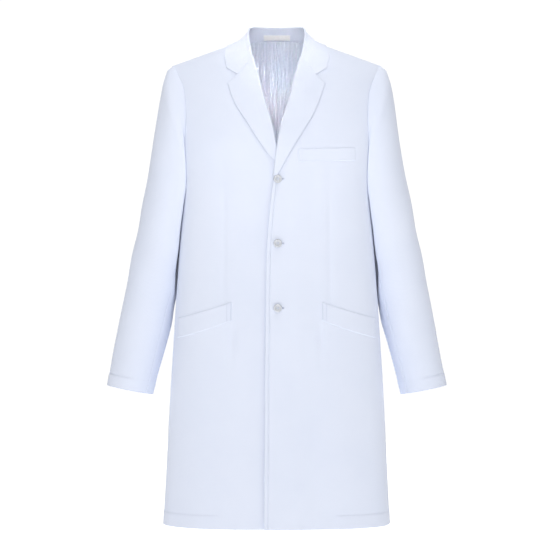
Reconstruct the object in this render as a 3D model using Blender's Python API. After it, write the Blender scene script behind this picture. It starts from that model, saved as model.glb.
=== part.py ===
"""Tailored lab coat: knee length, notched lapels, three buttons, long sleeves.

Units are metres and +Z is up. The origin is the middle of the neck opening, level with the back neck
seam, so the hem lies at z = HEM_Z. The wearer faces -Y, and the wearer's left is +X.
Every cloth piece is a closed sheet that follows one body surface, and lies at its own depth in the layers.
"""
import math

import bpy
import numpy as np

# ---- driving dimensions ------------------------------------------------------------------------------
HEM_Z = -0.997
UNDERARM_Z = -0.305
SHOULDER_FRONT_Z = -0.240      # above this height the front slopes back towards the shoulder
SHOULDER_BACK_Z = -0.200
SECTION_POWER = 2.5            # roundness of the body's horizontal section
FRONT_SLOPE_POWER = 1.6
BACK_SLOPE_POWER = 2.0
SHOULDER_DROP = 0.361          # fall of the shoulder line for each metre outwards
SHOULDER_TOP_Z = 0.017
NECK_RISE = 0.020
NECK_REACH = 0.090
RIDGE_Y = 0.010                # depth of the shoulder seam
BACK_NECK_Y = 0.035
FRONT_SEAM_FRACTION = 0.9997   # how far up its slope a panel runs before the shoulder seam
BACK_SEAM_FRACTION = 0.99996
SIDE_MARGIN = 0.0012           # angle left open at a side seam
NECK_POINT_X = 0.085
NECK_DROP = 0.0137
NECK_EASE = 0.0045             # a front stops this far short of the collar's seam, above NECK_EASE_Z
NECK_EASE_Z = -0.090
LEAST_CHEST_STRIP = 0.012      # least width of the chest's inner strip of faces
CHEST_COLS = (0.0, 0.47)
CHEST_ROWS = (1.10, 1.16, 1.265, 1.37, 1.475, 1.58, 1.685, 1.79, 1.895)

HALF_WIDTH = ((-0.997, 0.2325), (-0.78, 0.2215), (-0.60, 0.2105), (-0.42, 0.199), (-0.31, 0.193),
              (-0.20, 0.206), (-0.05, 0.226), (0.05, 0.230))
FRONT_DEPTH = ((-0.997, 0.120), (-0.60, 0.117), (-0.42, 0.112), (-0.25, 0.118), (0.05, 0.118))
BACK_DEPTH = ((-0.997, 0.125), (-0.65, 0.120), (-0.42, 0.102), (-0.22, 0.114), (0.05, 0.114))
ARMHOLE_X = ((-0.305, 0.1925), (-0.234, 0.186), (-0.137, 0.185), (-0.100, 0.193), (-0.060, 0.216))
ROLL_LINE_X = ((-0.30, -0.0080), (-0.237, 0.0), (-0.19, 0.0086), (-0.139, 0.0236), (-0.074, 0.0405),
               (-0.047, 0.050), (-0.0137, 0.085))
LEFT_LAPEL_EDGE_X = ((-0.302, -0.0066), (-0.276, 0.0026), (-0.2426, 0.025), (-0.205, 0.0512),
                     (-0.1594, 0.0774), (-0.106, 0.0972))

CLOTH = 0.0015                 # thickness of every cloth layer
GAP = 0.0006                   # half the gap along a seam
LEFT_LAP = 0.0052              # how far the left front stands out where it laps over the right
LEFT_EDGE_X = -0.0213
RIGHT_EDGE_X = 0.0213
BREAK_Z = -0.264               # where the lapel ends and the buttoned front starts
BAND_TOP_Z = -0.272
BAND_X = 0.0865                # outer side of the part of each front that swings
PANEL_X = 0.0895               # inner side of the part that stays
FACING_X = 0.0790
FACING_INSET = 0.0010          # a facing stops this far short of the front edge
FACING_IN = 0.0022             # from a front's outer face to its facing
FRONT_AXIS = (0.105, -0.100)   # upright line on which a front swings

LINING_HALF_WIDTH = 0.115
LINING_LOW_Z = -0.380
LINING_HIGH_Z = -0.024
LINING_OUT = -0.0040           # from the back's outer face
LINING_CLOTH = 0.0012

# Corners of the pocket pieces in (x, z): inner low, outer low, outer high, inner high.
HIP_WELT = ((0.0905, -0.5810), (0.2000, -0.6170), (0.2000, -0.5770), (0.0905, -0.5440))
HIP_BAG = ((0.1000, -0.7400), (0.1930, -0.7400), (0.1930, -0.6050), (0.1000, -0.5750))
BREAST_WELT = ((0.0430, -0.2640), (0.1570, -0.2600), (0.1570, -0.2350), (0.0430, -0.2400))
BREAST_BAG = ((0.0480, -0.3900), (0.1520, -0.3900), (0.1520, -0.2560), (0.0480, -0.2600))
WELT_CLOTH = 0.0020
BAG_CLOTH = 0.0016
HIP_WELT_OUT = 0.0040          # each piece's place outside the front's outer face
HIP_BAG_OUT = -0.0030
BREAST_WELT_OUT = 0.0034
BREAST_BAG_OUT = -0.0055

BUTTON_X = 0.0020
BUTTON_Z = (-0.299, -0.427, -0.556)
BUTTON_NAMES = ("top", "middle", "bottom")
BUTTON_R = 0.0085
BUTTON_T = 0.0030
BUTTONHOLE_R = 0.0112
BUTTON_BACK = 0.0060           # from the right front's face to the back of a button
THREAD_HOLE_R = 0.0009
THREAD_HOLE_PITCH = 0.0021
SHANK_R = 0.0020

SHOULDER_PIVOT = (0.2165, 0.010, -0.064)
SLEEVE_OUTER = ((0.2225, -0.072), (0.350, -0.716))
SLEEVE_WIDTH = ((0.0, 0.134), (0.35, 0.127), (0.60, 0.114), (1.0, 0.0965))
SLEEVE_DEPTH = ((0.0, 0.174), (0.30, 0.142), (0.60, 0.116), (1.0, 0.092))
SLEEVE_MIDDLE_Y = ((0.0, 0.003), (0.40, 0.012), (1.0, 0.024))
ARMHOLE_GAP = 0.0020
SLEEVE_CLEARANCE = 0.0035      # from the body's side to a sleeve that hangs beside it
FRONT_SEAM_ANGLE = math.radians(137.0)
BACK_SEAM_ANGLE = math.radians(-115.0)
ARMHOLE_TOP_Z = -0.064
UNDERARM_START = 0.32          # how far down the tube the seam reaches under the arm
HEAD_EASE = 0.05               # the seam's shape fades into the tube over these shares of the length
UNDERARM_EASE = 0.22
HEAD_SWELL = 0.0045            # fullness of the sleeve's head
HEAD_RISE = 0.03
HEAD_FALL = 0.33
CLEAR_EASE = 0.002
SLEEVE_MARGIN = 0.012          # angle left open at a sleeve seam
SLEEVE_STATIONS = (0.0, 0.03, 0.07, 0.12, 0.18, 0.26, 0.36, 0.48, 0.60, 0.73, 0.87, 1.0)

WHITE = (0.86, 0.89, 0.97, 1.0)
LINING = (0.70, 0.78, 0.92, 1.0)
LABEL = (0.93, 0.93, 0.94, 1.0)
PEARL = (0.80, 0.80, 0.80, 1.0)
THREAD = (0.88, 0.89, 0.92, 1.0)


def clear_scene():
    for obj in list(bpy.data.objects):
        bpy.data.objects.remove(obj, do_unlink=True)


def make_material(name, color, roughness):
    material = bpy.data.materials.new(name)
    material.use_nodes = True
    shader = material.node_tree.nodes["Principled BSDF"]
    shader.inputs["Base Color"].default_value = color
    shader.inputs["Roughness"].default_value = roughness
    shader.inputs["Metallic"].default_value = 0.0
    return material


# ---- curves ------------------------------------------------------------------------------------------
def curve(points, at):
    """Smooth value at `at` through (position, value) points in rising order."""
    xs = [p[0] for p in points]
    ys = [p[1] for p in points]
    at = min(max(at, xs[0]), xs[-1])
    i = min(max(int(np.searchsorted(xs, at)) - 1, 0), len(xs) - 2)
    slopes = [(ys[k + 1] - ys[k]) / (xs[k + 1] - xs[k]) for k in range(len(xs) - 1)]
    middles = [(before + after) / 2 for before, after in zip(slopes, slopes[1:])]
    tangents = [slopes[0]] + middles + [slopes[-1]]
    width = xs[i + 1] - xs[i]
    t = (at - xs[i]) / width
    a = (1 + 2 * t) * (1 - t) ** 2 * ys[i] + t * (1 - t) ** 2 * width * tangents[i]
    b = t * t * (3 - 2 * t) * ys[i + 1] - t * t * (1 - t) * width * tangents[i + 1]
    return a + b


def smooth(t):
    t = min(max(t, 0.0), 1.0)
    return t * t * (3 - 2 * t)


def spline(points, t):
    """Point at t, from 0 to 1, on a smooth curve through evenly spaced points."""
    points = np.asarray(points, float)
    last = len(points) - 1
    place = min(max(t, 0.0), 1.0) * last
    i = min(int(place), last - 1)
    f = place - i
    before = points[i - 1] if i > 0 else 2 * points[0] - points[1]
    after = points[i + 2] if i + 2 <= last else 2 * points[last] - points[last - 1]
    here, there = points[i], points[i + 1]
    return 0.5 * (2 * here + (there - before) * f + (2 * before - 5 * here + 4 * there - after) * f * f
                  + (3 * here - before - 3 * there + after) * f ** 3)


# ---- the body surface --------------------------------------------------------------------------------
def shoulder_line(x):
    rise = max(0.0, 1 - (x / NECK_REACH) ** 2) ** 2
    return SHOULDER_TOP_Z - SHOULDER_DROP * abs(x) + NECK_RISE * rise


def body(angle, z):
    """Point of the coat's outer surface: angle 0 is centre front, pi/2 the left side, pi centre back."""
    s = math.sin(angle)
    front = math.cos(angle) >= 0
    x = curve(HALF_WIDTH, z) * s
    level = max(0.0, 1 - abs(s) ** SECTION_POWER) ** (1 / SECTION_POWER)
    y = -curve(FRONT_DEPTH, z) * level if front else curve(BACK_DEPTH, z) * level
    start = SHOULDER_FRONT_Z if front else SHOULDER_BACK_Z
    if z <= start:
        return np.array((x, y, z))
    power = FRONT_SLOPE_POWER if front else BACK_SLOPE_POWER
    up = min(1.0, (z - start) / (shoulder_line(x) - start))
    level = (1 - up ** power) ** (1 / power)
    ridge = RIDGE_Y
    if not front:
        ridge += (BACK_NECK_Y - RIDGE_Y) * (1 - smooth(abs(x) / NECK_POINT_X))
    return np.array((x, ridge + (y - ridge) * level, z))


def angle_at(x, z, front=True):
    s = min(max(x / curve(HALF_WIDTH, z), -1.0), 1.0)
    return math.asin(s) if front else math.pi - math.asin(s)


def normal(angle, z):
    step = 0.002
    across = body(angle + step, z) - body(angle - step, z)
    along = body(angle, z + step) - body(angle, z - step)
    n = np.cross(across, along)
    return n / np.linalg.norm(n)


def on_body(x, z, out=0.0, front=True):
    """Point at front-view place x, z, standing `out` proud of the body surface."""
    angle = angle_at(x, z, front)
    return body(angle, z) + normal(angle, z) * out


def lap(x, z, side):
    """How far the left front stands out where it laps over the right one."""
    if side < 0:
        return 0.0
    return LEFT_LAP * (1 - smooth((x - 0.030) / 0.050)) * (1 - smooth((z + 0.225) / 0.060))


# ---- closed sheets -----------------------------------------------------------------------------------
def add_mesh(name, points, faces, material, body_empty):
    origin = body_empty.location
    mesh = bpy.data.meshes.new(name)
    mesh.from_pydata([tuple(np.asarray(p) - np.array(origin)) for p in points], [], faces)
    mesh.materials.append(material)
    mesh.update()
    obj = bpy.data.objects.new(name, mesh)
    bpy.context.scene.collection.objects.link(obj)
    obj.parent = body_empty
    return obj


def sheet(name, outer, inner, material, body_empty, mask=None):
    """Closed sheet between two equal grids of points, with an edge strip wherever the grid stops.

    Both faces are split along the same diagonal, so a twisted sheet keeps its thickness.
    """
    rows = len(outer)
    cols = len(outer[0])
    count = rows * cols
    points = [p for row in outer for p in row] + [p for row in inner for p in row]
    faces = []
    edges = {}
    for i in range(rows - 1):
        for j in range(cols - 1):
            if mask and not mask(i, j):
                continue
            a, b = i * cols + j, i * cols + j + 1
            c, d = b + cols, a + cols
            faces += [(a, b, c), (a, c, d)]
            faces += [(c + count, b + count, a + count), (d + count, c + count, a + count)]
            corners = (a, b, c, d)
            for a, b in zip(corners, corners[1:] + corners[:1]):
                if (b, a) in edges:
                    del edges[(b, a)]
                else:
                    edges[(a, b)] = True
    faces += [(b, a, a + count, b + count) for a, b in edges]
    used = sorted({v for face in faces for v in face})
    place = {v: n for n, v in enumerate(used)}
    faces = [tuple(place[v] for v in face) for face in faces]
    obj = add_mesh(name, [points[v] for v in used], faces, material, body_empty)
    outward(obj)
    return obj


def outward(obj):
    """Turns the faces of a closed mesh so that its volume is positive."""
    mesh = obj.data
    volume = 0.0
    for face in mesh.polygons:
        first = mesh.vertices[face.vertices[0]].co
        for a, b in zip(face.vertices[1:-1], face.vertices[2:]):
            volume += first.dot(mesh.vertices[a].co.cross(mesh.vertices[b].co))
    if volume < 0:
        mesh.flip_normals()


def layered(name, place, out, rows, cols, material, body_empty, thickness=CLOTH, mask=None):
    """Sheet that follows the body: place(v, u) gives (angle, z), out(x, z) its outer face's height."""
    outer = []
    inner = []
    for v in rows:
        outer_row = []
        inner_row = []
        for u in cols:
            angle, z = place(v, u)
            base = body(angle, z)
            n = normal(angle, z)
            height = out(base[0], z)
            outer_row.append(base + n * height)
            inner_row.append(base + n * (height - thickness))
        outer.append(outer_row)
        inner.append(inner_row)
    return sheet(name, outer, inner, material, body_empty, mask)


def steps(start, end, count):
    return [start + (end - start) * i / count for i in range(count + 1)]


# ---- fronts and backs --------------------------------------------------------------------------------
def armhole_limit(z):
    """Sine of the body angle at which a panel ends, at the armhole or at the side seam."""
    if z <= UNDERARM_Z:
        return math.pi / 2 - SIDE_MARGIN
    return math.asin(min(1.0, (curve(ARMHOLE_X, z) - 2 * GAP) / curve(HALF_WIDTH, z)))


def panel_height(v, x, front):
    """Height of row v: level below the underarm, and following the shoulder line above it."""
    if v <= 1.0:
        return HEM_Z + (UNDERARM_Z - HEM_Z) * v
    top = shoulder_line(x)
    start = SHOULDER_FRONT_Z if front else SHOULDER_BACK_Z
    top = start + (top - start) * (FRONT_SEAM_FRACTION if front else BACK_SEAM_FRACTION)
    if not front and abs(x) < NECK_POINT_X:
        top = min(top, -NECK_DROP * (x / NECK_POINT_X) ** 2)
    return UNDERARM_Z + (top - UNDERARM_Z) * math.sin((v - 1.0) * math.pi / 2) ** 0.9


def panel_place(v, u, inner_x, front):
    """Angle and height of grid place v, u on a left-hand panel that starts at inner_x(z)."""
    x = 0.1
    for _ in range(24):
        z = panel_height(v, x, front)
        low = angle_at(inner_x(z), z)
        angle = low + (armhole_limit(z) - low) * u
        x = 0.5 * x + 0.5 * curve(HALF_WIDTH, z) * math.sin(angle)
    return angle, z


def chest_edge_x(z):
    """Inner edge of the chest: the roll line, eased off the collar's seam near the neck."""
    return curve(ROLL_LINE_X, z) + GAP + NECK_EASE * smooth((z - NECK_EASE_Z) / 0.04)


def split_x(z):
    """Line that parts a front's swinging band from the rest, carried on up the chest."""
    return max(PANEL_X, chest_edge_x(z) + LEAST_CHEST_STRIP)


def chest_place(v, u):
    """Angle and height of grid place v, u between the roll line at u = 0 and the split at u = 1."""
    x = 0.05
    for _ in range(24):
        z = panel_height(v, x, True)
        start = angle_at(chest_edge_x(z), z)
        end = angle_at(split_x(z), z)
        angle = start + (end - start) * u
        x = 0.5 * x + 0.5 * curve(HALF_WIDTH, z) * math.sin(angle)
    return angle, z


def front_panel(name, side, material, root):
    """One front outside its swinging band: the chest above, and the outer part of the skirt below."""
    rows = steps(0.0, 1.0, 8) + list(CHEST_ROWS) + [2.0]
    cols = [u - 1.0 for u in CHEST_COLS] + steps(0.0, 1.0, 8)
    first_chest_row = rows.index(CHEST_ROWS[0])

    def place(v, u):
        angle, z = chest_place(v, u + 1.0) if u < 0 else panel_place(v, u, split_x, True)
        return side * angle, z

    def mask(i, j):
        return j >= len(CHEST_COLS) or i >= first_chest_row

    return layered(name, place, lambda x, z: lap(x, z, side), rows, cols, material, root, mask=mask)


def back_panel(name, side, material, root):
    rows = steps(0.0, 1.0, 8) + steps(1.14, 2.0, 8)

    def place(v, u):
        angle, z = panel_place(v, u, lambda z: GAP, False)
        return side * (math.pi - angle), z

    return layered(name, place, lambda x, z: 0.0, rows, steps(0.0, 1.0, 9), material, root)


def front_band(name, side, inner_x, outer_x, out, material, body_empty):
    """Swinging part of a front: an upright strip from the break of the lapel to the hem."""
    def place(v, u):
        z = HEM_Z + (BAND_TOP_Z - HEM_Z) * v
        x = inner_x + (outer_x - inner_x) * u
        return side * angle_at(x, z), z

    return layered(name, place, out, steps(0.0, 1.0, 10), steps(0.0, 1.0, 5), material, body_empty)


# ---- lapels and collar -------------------------------------------------------------------------------
GORGE_TOP = (0.0515, -0.0500)
NOTCH = (0.0775, -0.0868)
LAPEL_TIP = (0.0985, -0.1060)
COLLAR_TIP = (0.1010, -0.0720)
LAPEL_OUT = 0.0032
LAPEL_INSET = 0.0012           # from the roll line to the lapel's own inner edge
GORGE_OPEN = 0.0012            # gap between the lapel's top and the collar
NOTCH_SHARE = 0.6              # how far along a gorge line the notch lies


def between(a, b, t):
    return tuple(p + (q - p) * t for p, q in zip(a, b))


def bent(a, b, c, t):
    """Place at t along the line a, b, c, with b at NOTCH_SHARE."""
    if t <= NOTCH_SHARE:
        return between(a, b, t / NOTCH_SHARE)
    return between(b, c, (t - NOTCH_SHARE) / (1 - NOTCH_SHARE))


def lapel(name, side, material, root):
    """Turned-back front edge, lying on the chest from the roll line to its own edge."""
    def view_place(v, u):
        z_in = BREAK_Z + (GORGE_TOP[1] - BREAK_Z) * v
        z_out = BREAK_Z + (LAPEL_TIP[1] - BREAK_Z) * v
        inside = (curve(ROLL_LINE_X, z_in) + LAPEL_INSET, z_in)
        outside = (curve(LEFT_LAPEL_EDGE_X, z_out), z_out)
        straight = between(inside, outside, u)
        top = bent(GORGE_TOP, NOTCH, LAPEL_TIP, u)
        level = between(GORGE_TOP, LAPEL_TIP, u)
        pull = smooth((v - 0.6) / 0.4)
        x = straight[0] + (top[0] - level[0]) * pull
        z = straight[1] + (top[1] - level[1] - GORGE_OPEN) * pull
        return x, z

    def place(v, u):
        x, z = view_place(v, u)
        return side * angle_at(x, z), z

    return layered(name, place, lambda x, z: lap(x, z, side) + LAPEL_OUT, steps(0.0, 1.0, 9),
                   (0.0, 0.2, 0.4, 0.6, 0.8, 1.0), material, root)


FOLD = ((0.0, 0.066, 0.025), (0.030, 0.059, 0.025), (0.052, 0.034, 0.022), (0.057, 0.000, 0.008),
        (0.0545, -0.028, -0.018), (0.0500, -0.0570, -0.0490))


def fold_point(t):
    return spline(FOLD, t)


def seam_point(t):
    """Neck seam from centre back, over the shoulder, to the top of the gorge."""
    half = 0.56
    if t <= half:
        x = NECK_POINT_X * math.sin(t / half * math.pi / 2)
        z = min(-NECK_DROP * (x / NECK_POINT_X) ** 2, shoulder_line(x) - 0.0002)
        return on_body(x, z, 0.0, False)
    f = (t - half) / (1 - half)
    x, z = between((NECK_POINT_X, -NECK_DROP - 0.0002), GORGE_TOP, f)
    z -= 0.004 * math.sin(f * math.pi)
    return on_body(x, z, 0.0, True)


def edge_stations():
    lift = 0.0045
    stations = [on_body(0.0, -0.026, lift, False), on_body(0.030, -0.0265, lift, False),
                on_body(0.060, -0.0285, lift, False), on_body(0.083, -0.0290, lift, False)]
    ridge_x = 0.0975
    stations.append(np.array((ridge_x, RIDGE_Y, shoulder_line(ridge_x) + lift)))
    stations.append(on_body(0.1045, -0.0440, lift, True))
    stations.append(on_body(COLLAR_TIP[0], COLLAR_TIP[1], lift, True))
    return stations


def mirrored(point, side):
    return np.array((side * point[0], point[1], point[2]))


def collar_grid(section, count_along, count_across, end=1.0):
    rows = []
    for t in steps(-end, end, count_along):
        side = -1 if t < 0 else 1
        rows.append([mirrored(section(abs(t), v), side) for v in steps(0.0, 1.0, count_across)])
    return rows


def collar_fall(material, root):
    """Leaf that turns down from the fold, outside the stand."""
    stations = edge_stations()
    out = 0.0034

    def section(t, v):
        fold = fold_point(t)
        edge = spline(stations, t)
        low = on_body(NOTCH[0], NOTCH[1] + 0.0012, LAPEL_OUT, True)
        straight = fold + (edge - fold) * v
        notch = bent(tuple(fold), tuple(low), tuple(edge), v)
        pull = smooth((t - 0.80) / 0.20)
        swell = 0.0035 * math.sin(math.pi * v) * (1 - pull)
        away = np.array((straight[0], straight[1] - 0.01, 0.03))
        away /= np.linalg.norm(away)
        return straight + (np.array(notch) - straight) * pull + away * (out + swell)

    def inner_section(t, v):
        point = section(t, v)
        away = np.array((point[0], point[1] - 0.01, 0.03))
        return point - away / np.linalg.norm(away) * CLOTH

    outer = collar_grid(section, 26, 5, 0.985)
    inner = collar_grid(inner_section, 26, 5, 0.985)
    return sheet("collar_fall", outer, inner, material, root)


def collar_stand(material, root):
    """Band that stands up from the neck seam to the fold and carries the fall."""
    def section(t, v):
        seam = seam_point(t)
        return seam + (fold_point(t) - seam) * (0.18 + 0.78 * v)

    def inner_section(t, v):
        point = section(t, v)
        away = np.array((point[0], point[1] - 0.01, 0.03))
        return point - away / np.linalg.norm(away) * CLOTH

    outer = collar_grid(section, 24, 3, 0.90)
    inner = collar_grid(inner_section, 24, 3, 0.90)
    return sheet("collar_stand", outer, inner, material, root)


def neck_label(material, root):
    """Blank woven label on the inside of the stand at centre back."""
    reach, low, high = 0.150, 0.30, 0.70

    def section(place, v, depth):
        t = abs(place)
        seam = seam_point(t)
        point = seam + (fold_point(t) - seam) * (low + (high - low) * v)
        away = np.array((point[0], point[1] - 0.01, 0.03))
        point = point - away / np.linalg.norm(away) * (CLOTH + depth)
        return mirrored(point, -1 if place < 0 else 1)

    places = steps(-reach, reach, 8)
    outer = [[section(place, v, 0.0011) for v in (0.0, 1.0)] for place in places]
    inner = [[section(place, v, 0.0017) for v in (0.0, 1.0)] for place in places]
    return sheet("neck_label", outer, inner, material, root)


def back_lining(material, root):
    """Inside back, from the neck seam down to where the fronts hide it."""
    def place(v, u):
        x = LINING_HALF_WIDTH * (2 * u - 1)
        z = LINING_LOW_Z + (LINING_HIGH_Z - LINING_LOW_Z) * v
        return angle_at(x, z, False), z

    return layered("back_lining", place, lambda x, z: LINING_OUT, steps(0.0, 1.0, 7), steps(0.0, 1.0, 8),
                   material, root, thickness=LINING_CLOTH)


# ---- pockets -----------------------------------------------------------------------------------------
def patch(name, side, corners, out, thickness, material, root, rows=2, cols=5):
    """Four-cornered piece on the front: corners are inner low, outer low, outer high, inner high."""
    low_in, low_out, high_out, high_in = corners

    def place(v, u):
        x, z = between(between(low_in, low_out, u), between(high_in, high_out, u), v)
        return side * angle_at(x, z), z

    return layered(name, place, lambda x, z: lap(x, z, side) + out, steps(0.0, 1.0, rows),
                   steps(0.0, 1.0, cols), material, root, thickness=thickness)


# ---- sleeves -----------------------------------------------------------------------------------------
def armhole_point(theta):
    """Seam where the sleeve starts: theta 0 is the shoulder tip, pi the underarm."""
    half = (ARMHOLE_TOP_Z - UNDERARM_Z) / 2
    z = UNDERARM_Z + half + half * math.cos(theta)
    x = curve(ARMHOLE_X, z)
    y = body(angle_at(x, z, math.sin(theta) >= 0), z)[1]
    return np.array((x + ARMHOLE_GAP, y, z))


def tube_point(theta, s):
    """Plain tapering tube on the arm's line, from the shoulder at s = 0 to the cuff at s = 1."""
    top, bottom = np.array(SLEEVE_OUTER[0]), np.array(SLEEVE_OUTER[1])
    along = (bottom - top) / np.linalg.norm(bottom - top)
    across = np.array((-along[1], along[0]))
    x, z = top + (bottom - top) * s + across * curve(SLEEVE_WIDTH, s) / 2 * (math.cos(theta) - 1)
    return np.array((x, curve(SLEEVE_MIDDLE_Y, s) - curve(SLEEVE_DEPTH, s) / 2 * math.sin(theta), z))


def sleeve_point(theta, v):
    """Outer surface of the left sleeve: theta 0 is its outer side, and v runs from seam to cuff."""
    under = (1 - math.cos(theta)) / 2
    start = UNDERARM_START * under
    ease = max(0.0, 1 - v / (HEAD_EASE + UNDERARM_EASE * under ** 2)) ** 2
    point = tube_point(theta, start + (1 - start) * v)
    point += (armhole_point(theta) - tube_point(theta, start)) * ease
    point[0] += HEAD_SWELL * (1 - under) * smooth(v / HEAD_RISE) * (1 - smooth((v - HEAD_RISE) / HEAD_FALL))
    return clear_of_body(point)


def clear_of_body(point):
    """Eases a point out sideways where it would lie inside the body."""
    x, y, z = point
    depth = curve(FRONT_DEPTH, z) if y < 0 else curve(BACK_DEPTH, z)
    level = max(0.0, 1 - (abs(y) / depth) ** SECTION_POWER) ** (1 / SECTION_POWER)
    side = curve(HALF_WIDTH, z) * level
    if z > UNDERARM_Z:
        side = min(side, curve(ARMHOLE_X, z))
    least = side + ARMHOLE_GAP + (SLEEVE_CLEARANCE - ARMHOLE_GAP) * smooth((UNDERARM_Z - z) / 0.04)
    over = (x - least) / CLEAR_EASE
    return np.array((least + CLEAR_EASE * (over if over > 20 else math.log1p(math.exp(over))), y, z))


def sleeve_normal(theta, v):
    step = 0.02
    low, high = max(0.0, v - step), min(1.0, v + step)
    n = np.cross(sleeve_point(theta + step, v) - sleeve_point(theta - step, v),
                 sleeve_point(theta, high) - sleeve_point(theta, low))
    return n / np.linalg.norm(n)


def sleeve_piece(name, side, first, last, count, material, body_empty):
    outer = []
    inner = []
    for v in SLEEVE_STATIONS:
        outer_row = []
        inner_row = []
        for theta in steps(first + SLEEVE_MARGIN, last - SLEEVE_MARGIN, count):
            point = sleeve_point(theta, v)
            inside = point - sleeve_normal(theta, v) * CLOTH
            outer_row.append(mirrored(point, side))
            inner_row.append(mirrored(inside, side))
        outer.append(outer_row)
        inner.append(inner_row)
    return sheet(name, outer, inner, material, body_empty)


# ---- buttons -----------------------------------------------------------------------------------------
def button_place(z):
    """Where the button's thread leaves the right front."""
    return body(angle_at(BUTTON_X, z), z)


def cutter(name, mesh, body_empty):
    obj = bpy.data.objects.new(name, mesh)
    bpy.context.scene.collection.objects.link(obj)
    obj.parent = body_empty
    obj.hide_render = True
    obj.display_type = "WIRE"
    return obj


def cut(target, tool):
    modifier = target.modifiers.new("cut", "BOOLEAN")
    modifier.operation = "DIFFERENCE"
    modifier.solver = "EXACT"
    modifier.object = tool


def turned(name, profile, sides, x, z, body_empty, material=None):
    """Solid turned about a line along Y: profile holds (radius, y) from front middle to back middle."""
    points = []
    faces = []
    rings = []
    for radius, y in profile:
        if radius == 0:
            rings.append([len(points)])
            points.append((x, y, z))
            continue
        rings.append(list(range(len(points), len(points) + sides)))
        for k in range(sides):
            turn = 2 * math.pi * k / sides
            points.append((x + radius * math.cos(turn), y, z + radius * math.sin(turn)))
    for first, second in zip(rings, rings[1:]):
        for k in range(sides):
            corners = [first[k % len(first)], first[(k + 1) % len(first)]]
            corners += [second[(k + 1) % len(second)], second[k % len(second)]]
            faces.append(tuple(dict.fromkeys(corners)))
    obj = add_mesh(name, points, faces, material, body_empty)
    outward(obj)
    return obj


def rod(name, radius, near, far, sides, x, z, body_empty, material):
    profile = ((0, near), (radius, near), (radius, far), (0, far))
    return turned(name, profile, sides, x, z, body_empty, material)


def drilled(targets, name, radius, near, far, sides, x, z, body_empty, material):
    """Cuts a round hole along Y through every target."""
    hole = rod(name, radius, near, far, sides, x, z, body_empty, material)
    hole.hide_render = True
    hole.display_type = "WIRE"
    for target in targets:
        cut(target, hole)


def button(name, z, pearl, thread, empty):
    """Four-hole button with a raised rim, and the thread shank behind it."""
    face = button_place(z)[1]
    back = face - BUTTON_BACK
    front = back - BUTTON_T
    profile = ((0, front + 0.0009), (0.0050, front + 0.0009), (0.0062, front), (0.0076, front),
               (BUTTON_R, front + 0.0010), (BUTTON_R, back - 0.0005), (BUTTON_R - 0.0010, back), (0, back))
    disc = turned("button_" + name, profile, 24, BUTTON_X, z, empty, pearl)
    for k in range(4):
        turn = math.pi / 4 + k * math.pi / 2
        hole_x = BUTTON_X + THREAD_HOLE_PITCH * math.cos(turn)
        hole_z = z + THREAD_HOLE_PITCH * math.sin(turn)
        drilled([disc], f"hole_{name}_{k}", THREAD_HOLE_R, front - 0.001, back + 0.001, 6, hole_x, hole_z,
                empty, pearl)
    rod("thread_" + name, SHANK_R, back + 0.0003, face - 0.0004, 10, BUTTON_X, z, empty, thread)


# ---- assembly ----------------------------------------------------------------------------------------
def make_empty(name, location):
    empty = bpy.data.objects.new(name, None)
    empty.location = location
    bpy.context.scene.collection.objects.link(empty)
    return empty


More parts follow.
